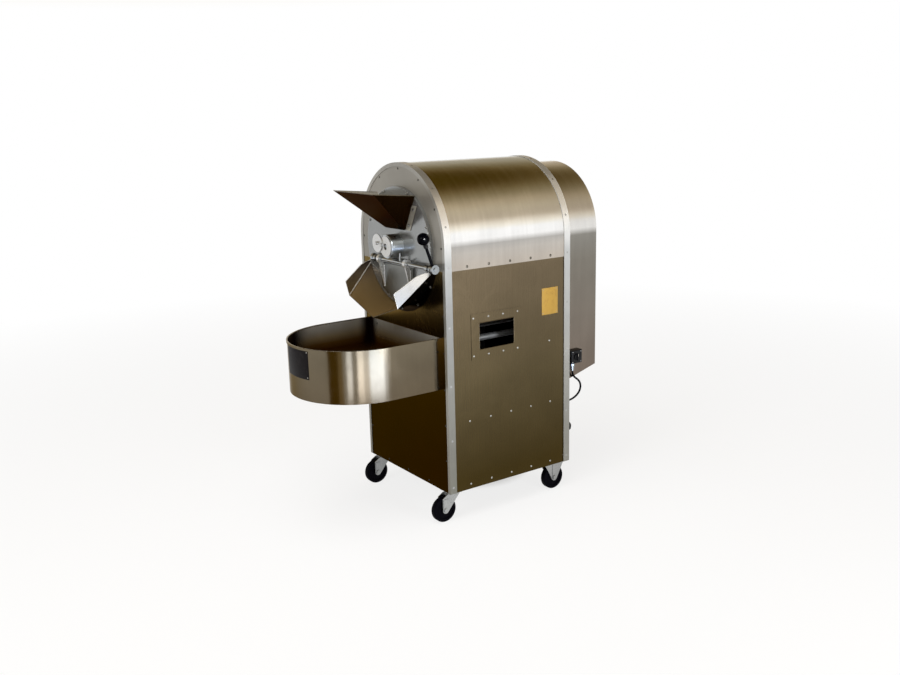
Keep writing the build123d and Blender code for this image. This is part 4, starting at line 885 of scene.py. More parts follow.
class Finishes:
    """Every finish of the machine, made into materials on first use."""

    # Painted reflection: the cover's tones by height stand in for the room it reflects, with a painted highlight band
    # from 1.08 m to 1.16 m.
    COVER = MetalFinish(
        "brushed cover sheet",
        by_height((0.99, 192, 183, 172), (1.035, 192, 186, 178), (1.062, 180, 177, 172),
                  (1.083, 244, 243, 241), (1.125, 250, 250, 249), (1.155, 236, 235, 231),
                  (1.325, 240, 239, 236), (1.35, 196, 206, 212)),
        0.15, Grain.ROUND_Y, line_depth=0.05, cloud_depth=0.09, bump=0.006, wave=0.0012)
    # Painted reflection: the housing's tones by height, with a painted highlight from 1.075 m up.
    HOUSING = MetalFinish(
        "drive housing sheet",
        by_height((0.46, 118, 106, 96), (0.95, 128, 123, 114), (1.05, 142, 139, 132), (1.075, 226, 224, 220),
                  (1.2, 222, 219, 215)),
        0.17, Grain.ROUND_Y, line_depth=0.04, bump=0.006,
        patches=(Patch(by_height((0.46, 112, 101, 90), (0.9, 132, 126, 116), (1.36, 158, 154, 146)),
                       centre=(0.0, 0.0, ARCH_Z), spread=(1.0, 0.0, 1.0), lean=(0.0, 1.0, 0.0)),))
    SIDE = MetalFinish("side panel sheet", PANEL_REFLECTION_TONES, 0.28, Grain.ALONG_Z, line_depth=0.018, bump=0.006,
                       edge=(0.55, 0.48, 0.38), patches=(SIDE_INSIDE,))
    # Painted shadow and reflection: the lower front sheet is near black low down, under the pan, and lighter brown
    # towards the top.
    FRONT = MetalFinish(
        "lower front sheet",
        by_height((0.2, 35, 14, 2), (0.5, 41, 23, 3), (0.66, 60, 42, 16), (0.76, 112, 88, 48),
                  (0.95, 116, 99, 66)),
        0.24, Grain.ALONG_Z, line_depth=0.02, bump=0.004, edge=(0.60, 0.58, 0.46), patches=(END_INSIDE,))
    REAR = MetalFinish("rear panel sheet", PANEL_REFLECTION_TONES, 0.28, Grain.ALONG_Z, line_depth=0.018, bump=0.006,
                       edge=(0.55, 0.48, 0.38), patches=(END_INSIDE,))
    PLATE = MetalFinish("front plate sheet", even(132, 129, 122), 0.36, Grain.ALONG_X, metal=0.55)
    DISC = MetalFinish("turned face disc", even(138, 140, 140), 0.20, metal=0.75, turned_about=DRUM_AXIS)
    # Painted reflection: the hopper's outer faces, which look down, are near black brown in place of a dark floor's
    # reflection; the patch gives the faces that look forward or up, the flange among them, a light grey.
    HOPPER = MetalFinish(
        "hopper sheet", by_height((1.1, 40, 23, 8), (1.27, 50, 32, 14)), 0.22, Grain.ALONG_X,
        edge=(0.37, 0.335, 0.28), patches=(Patch(even(150, 147, 138), metal=0.4, lean=(0.0, -1.0, 1.2)),))
    # Painted shade: the first patch darkens the flange faces outside the cheeks, and the third patch's tones darken
    # the inside faces towards the top, near the disc, and lighten them near the fold.
    SPOUT = MetalFinish(
        "spout sheet", by_height((0.78, 84, 74, 58), (0.98, 92, 82, 66)), 0.22, Grain.ALONG_Y,
        edge=(0.6, 0.56, 0.5),
        patches=(Patch(even(38, 29, 24), spread=(4.0, 0.0, 0.0), lean=(0.0, -1.0, -1.0)),
                 Patch(even(94, 91, 85), spread=(-10.0, 0.0, 0.0), lean=(0.0, 0.2, 0.5)),
                 Patch(by_height((0.78, 132, 107, 66), (0.88, 124, 104, 72), (0.925, 112, 96, 76),
                                 (0.965, 54, 42, 36)),
                       metal=0.5, spread=(1.0, 0.0, 0.0), lean=(0.0, 0.2, 0.4))))
    # Painted shade and sheen: the patch gives the pan's inside faces a dark band low down and a pale sheen towards
    # the rim, with painted shade in the left rear corner and at the left front under the rim.
    PAN = MetalFinish(
        "pan sheet", by_height((0.53, 102, 91, 74), (0.73, 110, 101, 84)), 0.15, Grain.ALONG_Z,
        cloud_depth=0.14, bump=0.008, wave=0.0012, edge=(0.6, 0.54, 0.45),
        patches=(Patch(by_height((0.53, 132, 118, 96), (0.55, 112, 92, 62), (0.60, 76, 46, 12),
                                 (0.62, 66, 34, 2), (0.645, 98, 68, 26), (0.67, 146, 128, 96),
                                 (0.70, 174, 169, 158), (0.72, 190, 187, 180)),
                       metal=0.65, centre=(*PAN_AXIS, 0.0), spread=(1.0, 1.0, 0.0), lean=(0.0, 0.0, 0.3),
                       painted_shades=(PaintedShade((-0.257, -0.1475, 0.585), 0.016, 0.066, srgb(22, 8, 8)),
                               PaintedShade((-0.16, -0.56, 0.585), 0.05, 0.16, srgb(20, 6, 8)))),))
    PAN_RIM = MetalFinish("pan rim wire", even(176, 169, 154), 0.24)
    # Painted highlight: the trim's tones by height have a near white band from 1.1 m to 1.24 m; the patch is painted
    # shade, a darker tone on the faces that look forward.
    TRIM = MetalFinish(
        "aluminium angle",
        by_height((0.15, 124, 123, 115), (0.55, 139, 138, 133), (0.85, 148, 149, 148), (1.0, 176, 178, 177),
                  (1.1, 220, 220, 218), (1.14, 248, 247, 245), (1.21, 245, 243, 239), (1.235, 226, 223, 217),
                  (1.27, 194, 190, 182), (1.33, 182, 181, 177), (1.36, 206, 206, 203)),
        0.32, Grain.ALONG_Z, metal=0.82,
        patches=(Patch(by_height((0.15, 120, 116, 107), (1.0, 160, 159, 154), (1.15, 158, 156, 150),
                                 (1.36, 141, 139, 133)),
                       metal=0.6, lean=(-0.4, -1.0, 0.0)),))
    # Painted highlight: the rear trim's tones by height are near white from 1.1 m to 1.3 m.
    REAR_TRIM = MetalFinish(
        "rear aluminium angle",
        by_height((0.15, 142, 141, 134), (0.55, 164, 164, 160), (1.0, 192, 194, 194), (1.1, 238, 238, 236),
                  (1.14, 254, 254, 252), (1.27, 250, 250, 249), (1.295, 216, 215, 211),
                  (1.33, 208, 208, 204), (1.36, 200, 200, 198)),
        0.32, Grain.ALONG_Z, metal=0.82,
        patches=(Patch(even(150, 149, 146), metal=0.1, centre=(0.0, 0.0, ARCH_Z), spread=(1.0, 0.0, 1.0),
                       lean=(0.0, -1.0, 0.0)),))
    # Painted highlight: a near white tone for the spout's cheek hems and for the beads along its folds.
    PAINTED_HIGHLIGHT_HEM = MetalFinish("folded edge with painted highlight", even(216, 212, 204), 0.30, metal=0.5)
    DULL_HEM = MetalFinish("dull folded edge", even(98, 90, 74), 0.30, metal=0.7)
    BOSS = MetalFinish("machined steel", even(152, 156, 158), 0.22, line_depth=0.10, cloud_depth=0.2)
    POLISHED = MetalFinish("polished steel", even(164, 167, 168), 0.14, Grain.ALONG_X, line_depth=0.04,
                           cloud_depth=0.05, bump=0.006)
    HUB = MetalFinish("turned hub", even(184, 192, 198), 0.34, line_depth=0.08, turned_about=DRUM_AXIS,
                      streak=0.9)
    CAP = MetalFinish("turned cap", even(192, 191, 188), 0.32, line_depth=0.05, turned_about=DRUM_AXIS)
    LID = MetalFinish("turned lid", even(200, 200, 198), 0.32, line_depth=0.05, turned_about=LID_AXIS)
    SATIN = MetalFinish("satin steel", even(124, 125, 122), 0.32, Grain.ALONG_Z)
    STRAP = MetalFinish("bright strap steel", even(208, 209, 208), 0.28, metal=0.65)
    DRUM = MetalFinish("heat-tinted drum", even(102, 89, 74), 0.42, Grain.ALONG_Y)
    SOOTED = MetalFinish("heat-stained steel", SOOT, 0.50)
    BURNER = MetalFinish("burner tube steel", even(154, 158, 162), 0.44, metal=0.6)
    ZINC = MetalFinish("zinc-plated steel", even(158, 159, 158), 0.27, line_depth=0.14, cloud_depth=0.25,
                       wave=0.002)
    RIVET = MetalFinish("rivet head", even(160, 158, 152), 0.40)
    LAP_RIVET = MetalFinish("weathered rivet head", even(96, 92, 84), 0.46, line_depth=0.2)
    END_RIVET = MetalFinish("blackened rivet head", even(58, 54, 50), 0.5)
    FLUSH_RIVET = MetalFinish("flush rivet head", even(164, 164, 162), 0.44)
    IRON = MetalFinish("oiled iron", even(70, 68, 67), 0.48, bump=0.12)
    BRASS = MetalFinish("machined brass", even(190, 158, 88), 0.28, Grain.ALONG_X)
    BALL = DullFinish("black ball", srgb(1, 1, 4), srgb(3, 2, 6), 0.14, shine=0.03, bump=0.0)
    PLASTIC = DullFinish("black plastic", srgb(12, 12, 15), srgb(24, 23, 26), 0.34, shine=0.2)
    RUBBER = DullFinish("black rubber", srgb(4, 3, 9), srgb(12, 11, 16), 0.62, shine=0.03)
    ENAMEL = DullFinish("black enamel", srgb(5, 5, 9), srgb(13, 12, 16), 0.3, shine=0.03)
    PAINT = DullFinish("frame paint", srgb(52, 53, 55), srgb(76, 76, 76), 0.46)
    YELLOW = DullFinish("yellow enamelled plate", srgb(184, 148, 68), srgb(166, 130, 60), 0.36,
                        marks_scale=30.0)
    BLACK_PLATE = DullFinish("black enamelled plate", srgb(18, 15, 17), srgb(30, 27, 28), 0.45, shine=0.06)
    MARK = DullFinish("white inlay", srgb(214, 212, 206), srgb(190, 188, 182), 0.5)
    # Painted shade: near black discs stand in for the dark insides of the burner ports.
    PORT = DullFinish("burner port", srgb(10, 9, 9), srgb(18, 16, 15), 0.7, shine=0.1)

    def __init__(self) -> None:
        """Build the shared effects."""
        self.effects = SharedEffects()
        self.made: dict[str, bpy.types.Material] = {}

    def get(self, finish: Finish) -> bpy.types.Material:
        """Material of a finish.

        Args:
            finish: Which finish.

        Returns:
            The material, the same one each time.
        """
        if finish.name not in self.made:
            self.made[finish.name] = finish.material(self.effects)
        return self.made[finish.name]

    def dress(self, nodes: Nodes) -> None:
        """Give every node of the frame its finish.

        Args:
            nodes: The frame's nodes by name.
        """
        for finish, names in NODE_FINISHES:
            for name in names:
                mesh = nodes[name].data
                mesh.materials.clear()
                mesh.materials.append(self.get(finish))
                LOG.info("%s: %s", name, finish.name)


SIDE_NAMES = ("left", "right")
NODE_FINISHES = (
    (Finishes.COVER, ("arch_cover",)),
    (Finishes.HOUSING, ("drive_housing",)),
    (Finishes.SIDE, ("left_side_panel", "right_side_panel", "window_frame")),
    (Finishes.FRONT, ("front_panel",)),
    (Finishes.REAR, ("rear_panel",)),
    (Finishes.PLATE, ("front_plate",)),
    (Finishes.DISC, ("face_disc",)),
    (Finishes.HOPPER, ("hopper",)),
    (Finishes.SPOUT, ("discharge_spout",)),
    (Finishes.PAN, ("receiving_pan",)),
    (Finishes.TRIM, ("front_edge_trim",)),
    (Finishes.REAR_TRIM, ("rear_edge_trim",)),
    (Finishes.HUB, ("hub_housing",)),
    (Finishes.POLISHED, ("door_rod", "rod_brackets", "drum_shaft", "output_shaft", "front_bearing")),
    (Finishes.BOSS, ("lever_boss", "cable_glands")),
    (Finishes.CAP, ("hub_cap",)),
    (Finishes.LID, ("hub_swing_cover",)),
    (Finishes.SATIN, ("discharge_door",)),
    (Finishes.STRAP, ("door_straps",)),
    (Finishes.DRUM, ("drum_shell", "drum_spider", "drum_vanes")),
    (Finishes.SOOTED, ("drum_jacket", "gas_manifold", "gas_pipe")),
    (Finishes.BURNER, ("burner_tubes",)),
    (Finishes.ZINC, ("caster_plates", *("caster_fork_front_" + side for side in SIDE_NAMES),
                     *("caster_bracket_rear_" + side for side in SIDE_NAMES))),
    (Finishes.IRON, ("rear_bearing", "drum_sprocket", "motor_sprocket", "drive_chain")),
    (Finishes.BRASS, ("gas_valve", "gas_inlet")),
    (Finishes.BALL, ("lever_knob",)),
    (Finishes.PLASTIC, ("switch_box", "switch_knob", "gas_knob")),
    (Finishes.RUBBER, ("switch_lead", *(f"caster_wheel_{end}_{side}" for end in ("front", "rear")
                                        for side in SIDE_NAMES))),
    (Finishes.ENAMEL, ("lever_arm",)),
    (Finishes.PAINT, ("chassis_frame", "motor_bracket", "gearmotor")),
)


# Geometry Nodes trees
class Head(Enum):
    """Kinds of fastener head."""

    RIVET = "domed rivet"
    HEX = "hexagon bolt"
    SCREW = "slotted screw"
    PORT = "drilled port"


class NodeTrees:
    """The Geometry Nodes trees: one for each kind of head, and one for beads along an edge."""

    def __init__(self) -> None:
        """Build the trees."""
        makers = {Head.RIVET: self.rivet_head, Head.HEX: self.hex_head, Head.SCREW: self.screw_head,
                  Head.PORT: self.port_head}
        self.heads = {kind: self.build_heads(kind, maker) for kind, maker in makers.items()}
        self.bead = self.build_bead()

    @staticmethod
    def start(name: str, sizes: Sequence[str]) -> tuple[Tree, Node, Node]:
        """Start a geometry tree with sizes and a material as its named inputs.

        Args:
            name: The tree's name.
            sizes: Names of the sizes.

        Returns:
            The tree, its input node and its output node.
        """
        tree = bpy.data.node_groups.new(name, "GeometryNodeTree")
        tree.interface.new_socket("Geometry", in_out="INPUT", socket_type="NodeSocketGeometry")
        for label in sizes:
            tree.interface.new_socket(label, in_out="INPUT", socket_type="NodeSocketFloat")
        tree.interface.new_socket("Material", in_out="INPUT", socket_type="NodeSocketMaterial")
        tree.interface.new_socket("Geometry", in_out="OUTPUT", socket_type="NodeSocketGeometry")
        return tree, tree.nodes.new("NodeGroupInput"), tree.nodes.new("NodeGroupOutput")

    @staticmethod
    def end(tree: Tree, entry: Node, leave: Node, shape: Socket) -> None:
        """Close a tree with real geometry and a material.

        Args:
            tree: The tree.
            entry: Its input node.
            leave: Its output node.
            shape: Socket with the geometry so far.
        """
        real = add_node(tree, "GeometryNodeRealizeInstances", {"Geometry": shape})
        dressed = add_node(tree, "GeometryNodeSetMaterial",
                           {"Geometry": real.outputs[0], "Material": entry.outputs["Material"]})
        tree.links.new(dressed.outputs[0], leave.inputs["Geometry"])

    @staticmethod
    def scaled(tree: Tree, shape: Socket, entry: Node) -> Socket:
        """Stretch a head that is modelled with a radius of 1 and a height of 1.

        Args:
            tree: The tree.
            shape: Socket with the head.
            entry: The tree's input node, which has the sizes.

        Returns:
            Socket with the head at its size.
        """
        radius, height = entry.outputs["Head Radius"], entry.outputs["Head Height"]
        size = add_node(tree, "ShaderNodeCombineXYZ", {"X": radius, "Y": radius, "Z": height}).outputs[0]
        return add_node(tree, "GeometryNodeTransform", {"Geometry": shape, "Scale": size}).outputs[0]

    @staticmethod
    def prism(tree: Tree, sides: int, radius: float, low: float, high: float) -> Socket:
        """Closed prism about Z between two heights.

        Args:
            tree: The tree that gets it.
            sides: Number of sides.
            radius: Radius over its corners.
            low: Height of its foot.
            high: Height of its top.

        Returns:
            Socket with the shape.
        """
        whole = add_node(tree, "GeometryNodeMeshCylinder",
                         {"Vertices": sides, "Radius": radius, "Depth": high - low})
        moved = add_node(tree, "GeometryNodeTransform",
                         {"Geometry": whole.outputs["Mesh"], "Translation": (0.0, 0.0, (low + high) / 2)})
        return moved.outputs[0]

    def rivet_head(self, tree: Tree) -> Socket:
        """Low dome whose lower half is sunk in the sheet."""
        dome = add_node(tree, "GeometryNodeMeshUVSphere", {"Segments": 16, "Rings": 8, "Radius": 1.0})
        return add_node(tree, "GeometryNodeSetShadeSmooth", {"Geometry": dome.outputs["Mesh"]}).outputs[0]

    def hex_head(self, tree: Tree) -> Socket:
        """Washer, hexagon and a chamfered crown, in shares of the bolt's size.

        Args:
            tree: The tree that gets them.

        Returns:
            Socket with the shape.
        """
        washer_radius = 1.45
        washer_foot = -0.1
        washer_top = 0.2
        hexagon_top = 0.94
        crown = add_node(tree, "GeometryNodeMeshCone",
                         {"Vertices": 24, "Radius Top": 0.66, "Radius Bottom": 0.86, "Depth": 0.12})
        lifted = add_node(tree, "GeometryNodeTransform",
                          {"Geometry": crown.outputs["Mesh"], "Translation": (0.0, 0.0, hexagon_top)})
        join = add_node(tree, "GeometryNodeJoinGeometry")
        washer = self.prism(tree, sides=24, radius=washer_radius, low=washer_foot, high=washer_top)
        hexagon = self.prism(tree, sides=6, radius=1.0, low=washer_top, high=hexagon_top)
        for shape in (washer, hexagon, lifted.outputs[0]):
            tree.links.new(shape, join.inputs[0])
        return join.outputs[0]

    def screw_head(self, tree: Tree) -> Socket:
        """Round head with a straight slot cut in it.

        Args:
            tree: The tree that gets it.

        Returns:
            Socket with the shape.
        """
        dome = add_node(tree, "GeometryNodeMeshUVSphere", {"Segments": 20, "Rings": 10, "Radius": 1.0})
        slot_size = (2.4, 0.24, 0.9)
        slot_middle = (0.0, 0.0, 0.95)
        slot = add_node(tree, "GeometryNodeMeshCube", {"Size": slot_size})
        lifted = add_node(tree, "GeometryNodeTransform",
                          {"Geometry": slot.outputs["Mesh"], "Translation": slot_middle})
        cut = add_node(tree, "GeometryNodeMeshBoolean", operation="DIFFERENCE")
        tree.links.new(dome.outputs["Mesh"], cut.inputs["Mesh 1"])
        tree.links.new(lifted.outputs[0], cut.inputs["Mesh 2"])
        return cut.outputs["Mesh"]

    def port_head(self, tree: Tree) -> Socket:
        """Disc that stands in for a drilled hole, painted near black as its shade."""
        return self.prism(tree, sides=12, radius=1.0, low=-0.5, high=0.5)

    def build_heads(self, kind: Head, maker: Callable[[Tree], Socket]) -> Tree:
        """Tree that puts one head on every point, turned to the point's own direction.

        Args:
            kind: Which head.
            maker: Method that models the head.

        Returns:
            The tree.
        """
        tree, entry, leave = self.start(kind.value, ("Head Radius", "Head Height"))
        head = self.scaled(tree, maker(tree), entry)
        facing = add_node(tree, "GeometryNodeInputNamedAttribute", {"Name": "facing"},
                          data_type="FLOAT_VECTOR").outputs["Attribute"]
        turn = add_node(tree, "FunctionNodeAlignRotationToVector", {"Vector": facing}, axis="Z").outputs[0]
        placed = add_node(tree, "GeometryNodeInstanceOnPoints",
                          {"Points": entry.outputs["Geometry"], "Instance": head, "Rotation": turn})
        self.end(tree, entry, leave, placed.outputs[0])
        return tree

    def build_bead(self) -> Tree:
        """Tree that runs a round bead along a line of edges, rounding its corners.

        Returns:
            The tree.
        """
        tree, entry, leave = self.start("bead along an edge", ("Bead Radius", "Corner Radius"))
        line = add_node(tree, "GeometryNodeMeshToCurve", {"Mesh": entry.outputs["Geometry"]})
        rounded = add_node(tree, "GeometryNodeFilletCurve",
                           {"Curve": line.outputs[0], "Radius": entry.outputs["Corner Radius"], "Count": 6},
                           mode="POLY")
        section = add_node(tree, "GeometryNodeCurvePrimitiveCircle",
                           {"Resolution": 10, "Radius": entry.outputs["Bead Radius"]})
        tube = add_node(tree, "GeometryNodeCurveToMesh",
                        {"Curve": rounded.outputs[0], "Profile Curve": section.outputs["Curve"],
                         "Fill Caps": True})
        self.end(tree, entry, leave, tube.outputs[0])
        return tree


# Making and keeping pieces
SHARP = 35.0
BEAD_SHARP = 50.0
PLATE_SHARP = 30.0
PLATE_ROUNDING = 0.3


def link(name: str, data: bpy.types.ID) -> Piece:
    """Put a mesh or a curve in the scene, at the origin.

    Args:
        name: The object's name.
        data: The mesh or curve.

    Returns:
        The new object.
    """
    piece = bpy.data.objects.new(name, data)
    bpy.context.scene.collection.objects.link(piece)
    return piece


def run_tree(name: str, start: Mesh, tree: Tree, inputs: dict) -> Piece:
    """Run a Geometry Nodes tree once and keep the result as a plain mesh.

    Args:
        name: The new piece's name.
        start: Mesh that the tree starts from.
        tree: Which tree.
        inputs: Values by the names of the tree's inputs.

    Returns:
        The new piece.
    """
    base = link(name + "_start", start)
    modifier = base.modifiers.new("tree", "NODES")
    modifier.node_group = tree
    for item in tree.interface.items_tree:
        if item.item_type == "SOCKET" and item.in_out == "INPUT" and item.name in inputs:
            modifier[item.identifier] = inputs[item.name]
    graph = bpy.context.evaluated_depsgraph_get()
    mesh = bpy.data.meshes.new_from_object(base.evaluated_get(graph))
    base.modifiers.remove(modifier)
    bpy.data.objects.remove(base)
    bpy.data.meshes.remove(start)
    mesh.name = name
    return link(name, mesh)


def soften(mesh: Mesh, angle: float = SHARP) -> None:
    """Shade a mesh smooth, apart from edges sharper than an angle in degrees."""
    mesh.shade_smooth()
    mesh.set_sharp_from_angle(angle=math.radians(angle))


def row(start: Point, step: Point, count: int, facing: Vector) -> list[Seat]:
    """Seats at an even step along a line.

    Args:
        start: First seat.
        step: From each seat to the next.
        count: How many.
        facing: Direction in which the heads stand out.

    Returns:
        The seats.
    """
    return [(Vector(start) + Vector(step) * index, facing) for index in range(count)]


def ring(centre: Point, radius: float, angles: Iterable[float], facing: Vector | None = None) -> list[Seat]:
    """Seats round an axis along Y.

    Args:
        centre: Middle of the ring.
        radius: The ring's radius.
        angles: Degrees from the right, over the top.
        facing: Direction of the heads, or None for outwards from the middle.

    Returns:
        The seats.
    """
    seats = []
    for angle in angles:
        out = Vector((math.cos(math.radians(angle)), 0, math.sin(math.radians(angle))))
        seats.append((Vector(centre) + out * radius, facing or out))
    return seats


def mirrored(seats: Iterable[Seat]) -> list[Seat]:
    """Seats and their mirror images across the middle of the machine.

    Args:
        seats: Seats on one side.

    Returns:
        Each seat, followed by its mirror image.
    """
    both = []
    for place, facing in seats:
        both.append((place, facing))
        both.append((Vector((-place.x, place.y, place.z)), Vector((-facing.x, facing.y, facing.z))))
    return both


def flipped(line: Iterable[Point]) -> list[Point]:
    """A line's mirror image across the middle of the machine."""
    return [(-x, y, z) for x, y, z in line]


class Workshop:
    """Makes pieces, dresses them and hands them to the frame."""

    def __init__(self, frame: dict) -> None:
        """Start with the loaded frame.
        """
        self.nodes = frame["nodes"]
        self.finishes = Finishes()
        self.trees = NodeTrees()

    def keep(self, piece: Piece, body: str, finish: Finish) -> None:
        """Dress a piece and let it ride on a body.

        Args:
            piece: The piece.
            body: Name of the body that carries it.
            finish: Its finish.
        """
        piece.data.materials.clear()
        piece.data.materials.append(self.finishes.get(finish))
        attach(piece, body)
        LOG.info("%s on %s: %d faces", piece.name, body, len(piece.data.polygons))

    def fasten(self, name: str, body: str, kind: Head, seats: Sequence[Seat], size: HeadSize, finish: Finish) -> None:
        """Put a head on every seat, as one piece.

        Args:
            name: The piece's name.
            body: Body that carries it.
            kind: Kind of head.
            seats: Where the heads sit and which way they face.
            size: Radius of a head and how far it stands out.
            finish: Its finish.
        """
        points = bpy.data.meshes.new(name + "_points")
        points.from_pydata([tuple(place) for place, facing in seats], [], [])
        facings = points.attributes.new("facing", "FLOAT_VECTOR", "POINT")
        for item, (place, facing) in zip(facings.data, seats):
            item.vector = facing
        inputs = {"Head Radius": size[0], "Head Height": size[1], "Material": self.finishes.get(finish)}
        piece = run_tree(name, points, self.trees.heads[kind], inputs)
        soften(piece.data)
        self.keep(piece, body, finish)

    def bead(self, name: str, body: str, lines: Sequence[Sequence[Point]], radius: float, finish: Finish,
             corner: float = 0.0, closed: bool = False, slot: str = "stainless_sheet") -> None:
        """Run a round bead along lines, as one piece.

        Args:
            name: The piece's name.
            body: Body that carries it.
            lines: Corner points of each line.
            radius: The bead's radius.
            finish: Its finish.
            corner: Radius at the lines' corners.
            closed: Whether each line ends where it starts.
            slot: Not used.
        """
        points: list[Point] = []
        edges: list[tuple[int, int]] = []
        for line in lines:
            first = len(points)
            points.extend(line)
            edges.extend((first + index, first + index + 1) for index in range(len(line) - 1))
            if closed:
                edges.append((len(points) - 1, first))
        wire = bpy.data.meshes.new(name + "_wire")
        wire.from_pydata(points, edges, [])
        inputs = {"Bead Radius": radius, "Corner Radius": corner, "Material": self.finishes.get(finish)}
        piece = run_tree(name, wire, self.trees.bead, inputs)
        soften(piece.data, BEAD_SHARP)
        self.keep(piece, body, finish)

    def lathe(self, name: str, profile: Sequence[Pair], root: Vector, along: Vector,
              sides: int = 32) -> Piece:
        """Turn a profile about a line.

        Args:
            name: The piece's name.
            profile: Radius and distance along the line of each point; the two ends lie on the line.
            root: Where the line starts.
            along: Its direction.
            sides: Number of sides.

        Returns:
            The new piece, closed.
        """
        frame = Matrix.Translation(root) @ along.to_track_quat("Z", "Y").to_matrix().to_4x4()
        shape = bmesh.new()
        loops = []
        for radius, height in profile:
            count = 1 if radius == 0 else sides
            turns = [2 * math.pi * index / sides for index in range(count)]
            points = [Vector((radius * math.cos(turn), radius * math.sin(turn), height)) for turn in turns]
            loops.append([shape.verts.new(frame @ point) for point in points])
        for low, high in zip(loops, loops[1:]):
            for index in range(sides):
                following = (index + 1) % sides
                corners = [low[index % len(low)], low[following % len(low)], high[following % len(high)],
                           high[index % len(high)]]
                shape.faces.new(list(dict.fromkeys(corners)))
        bmesh.ops.recalc_face_normals(shape, faces=shape.faces)
        mesh = bpy.data.meshes.new(name)
        shape.to_mesh(mesh)
        shape.free()
        soften(mesh)
        return link(name, mesh)

    def plate(self, name: str, rows: Sequence[Sequence[Vector]], thickness: float) -> Piece:
        """Thin plate through a net of points, with softened edges.

        Args:
            name: The piece's name.
            rows: Points of the plate's back, row by row.
            thickness: How far its face stands out.

        Returns:
            The new piece, closed.
        """
        shape = bmesh.new()
        net = [[shape.verts.new(point) for point in line] for line in rows]
        for low, high in zip(net, net[1:]):
            for index in range(len(low) - 1):
                shape.faces.new((low[index], low[index + 1], high[index + 1], high[index]))
        mesh = bpy.data.meshes.new(name)
        shape.to_mesh(mesh)
        shape.free()
        piece = link(name, mesh)
        wall = piece.modifiers.new("wall", "SOLIDIFY")
        wall.thickness = thickness
        wall.offset = 1.0
        edge = piece.modifiers.new("edge", "BEVEL")
        edge.width = thickness * PLATE_ROUNDING
        edge.segments = 2
        edge.limit_method = "ANGLE"
        graph = bpy.context.evaluated_depsgraph_get()
        done = bpy.data.meshes.new_from_object(piece.evaluated_get(graph))
        piece.modifiers.clear()
        piece.data = done
        bpy.data.meshes.remove(mesh)
        done.name = name
        soften(done, PLATE_SHARP)
        return piece


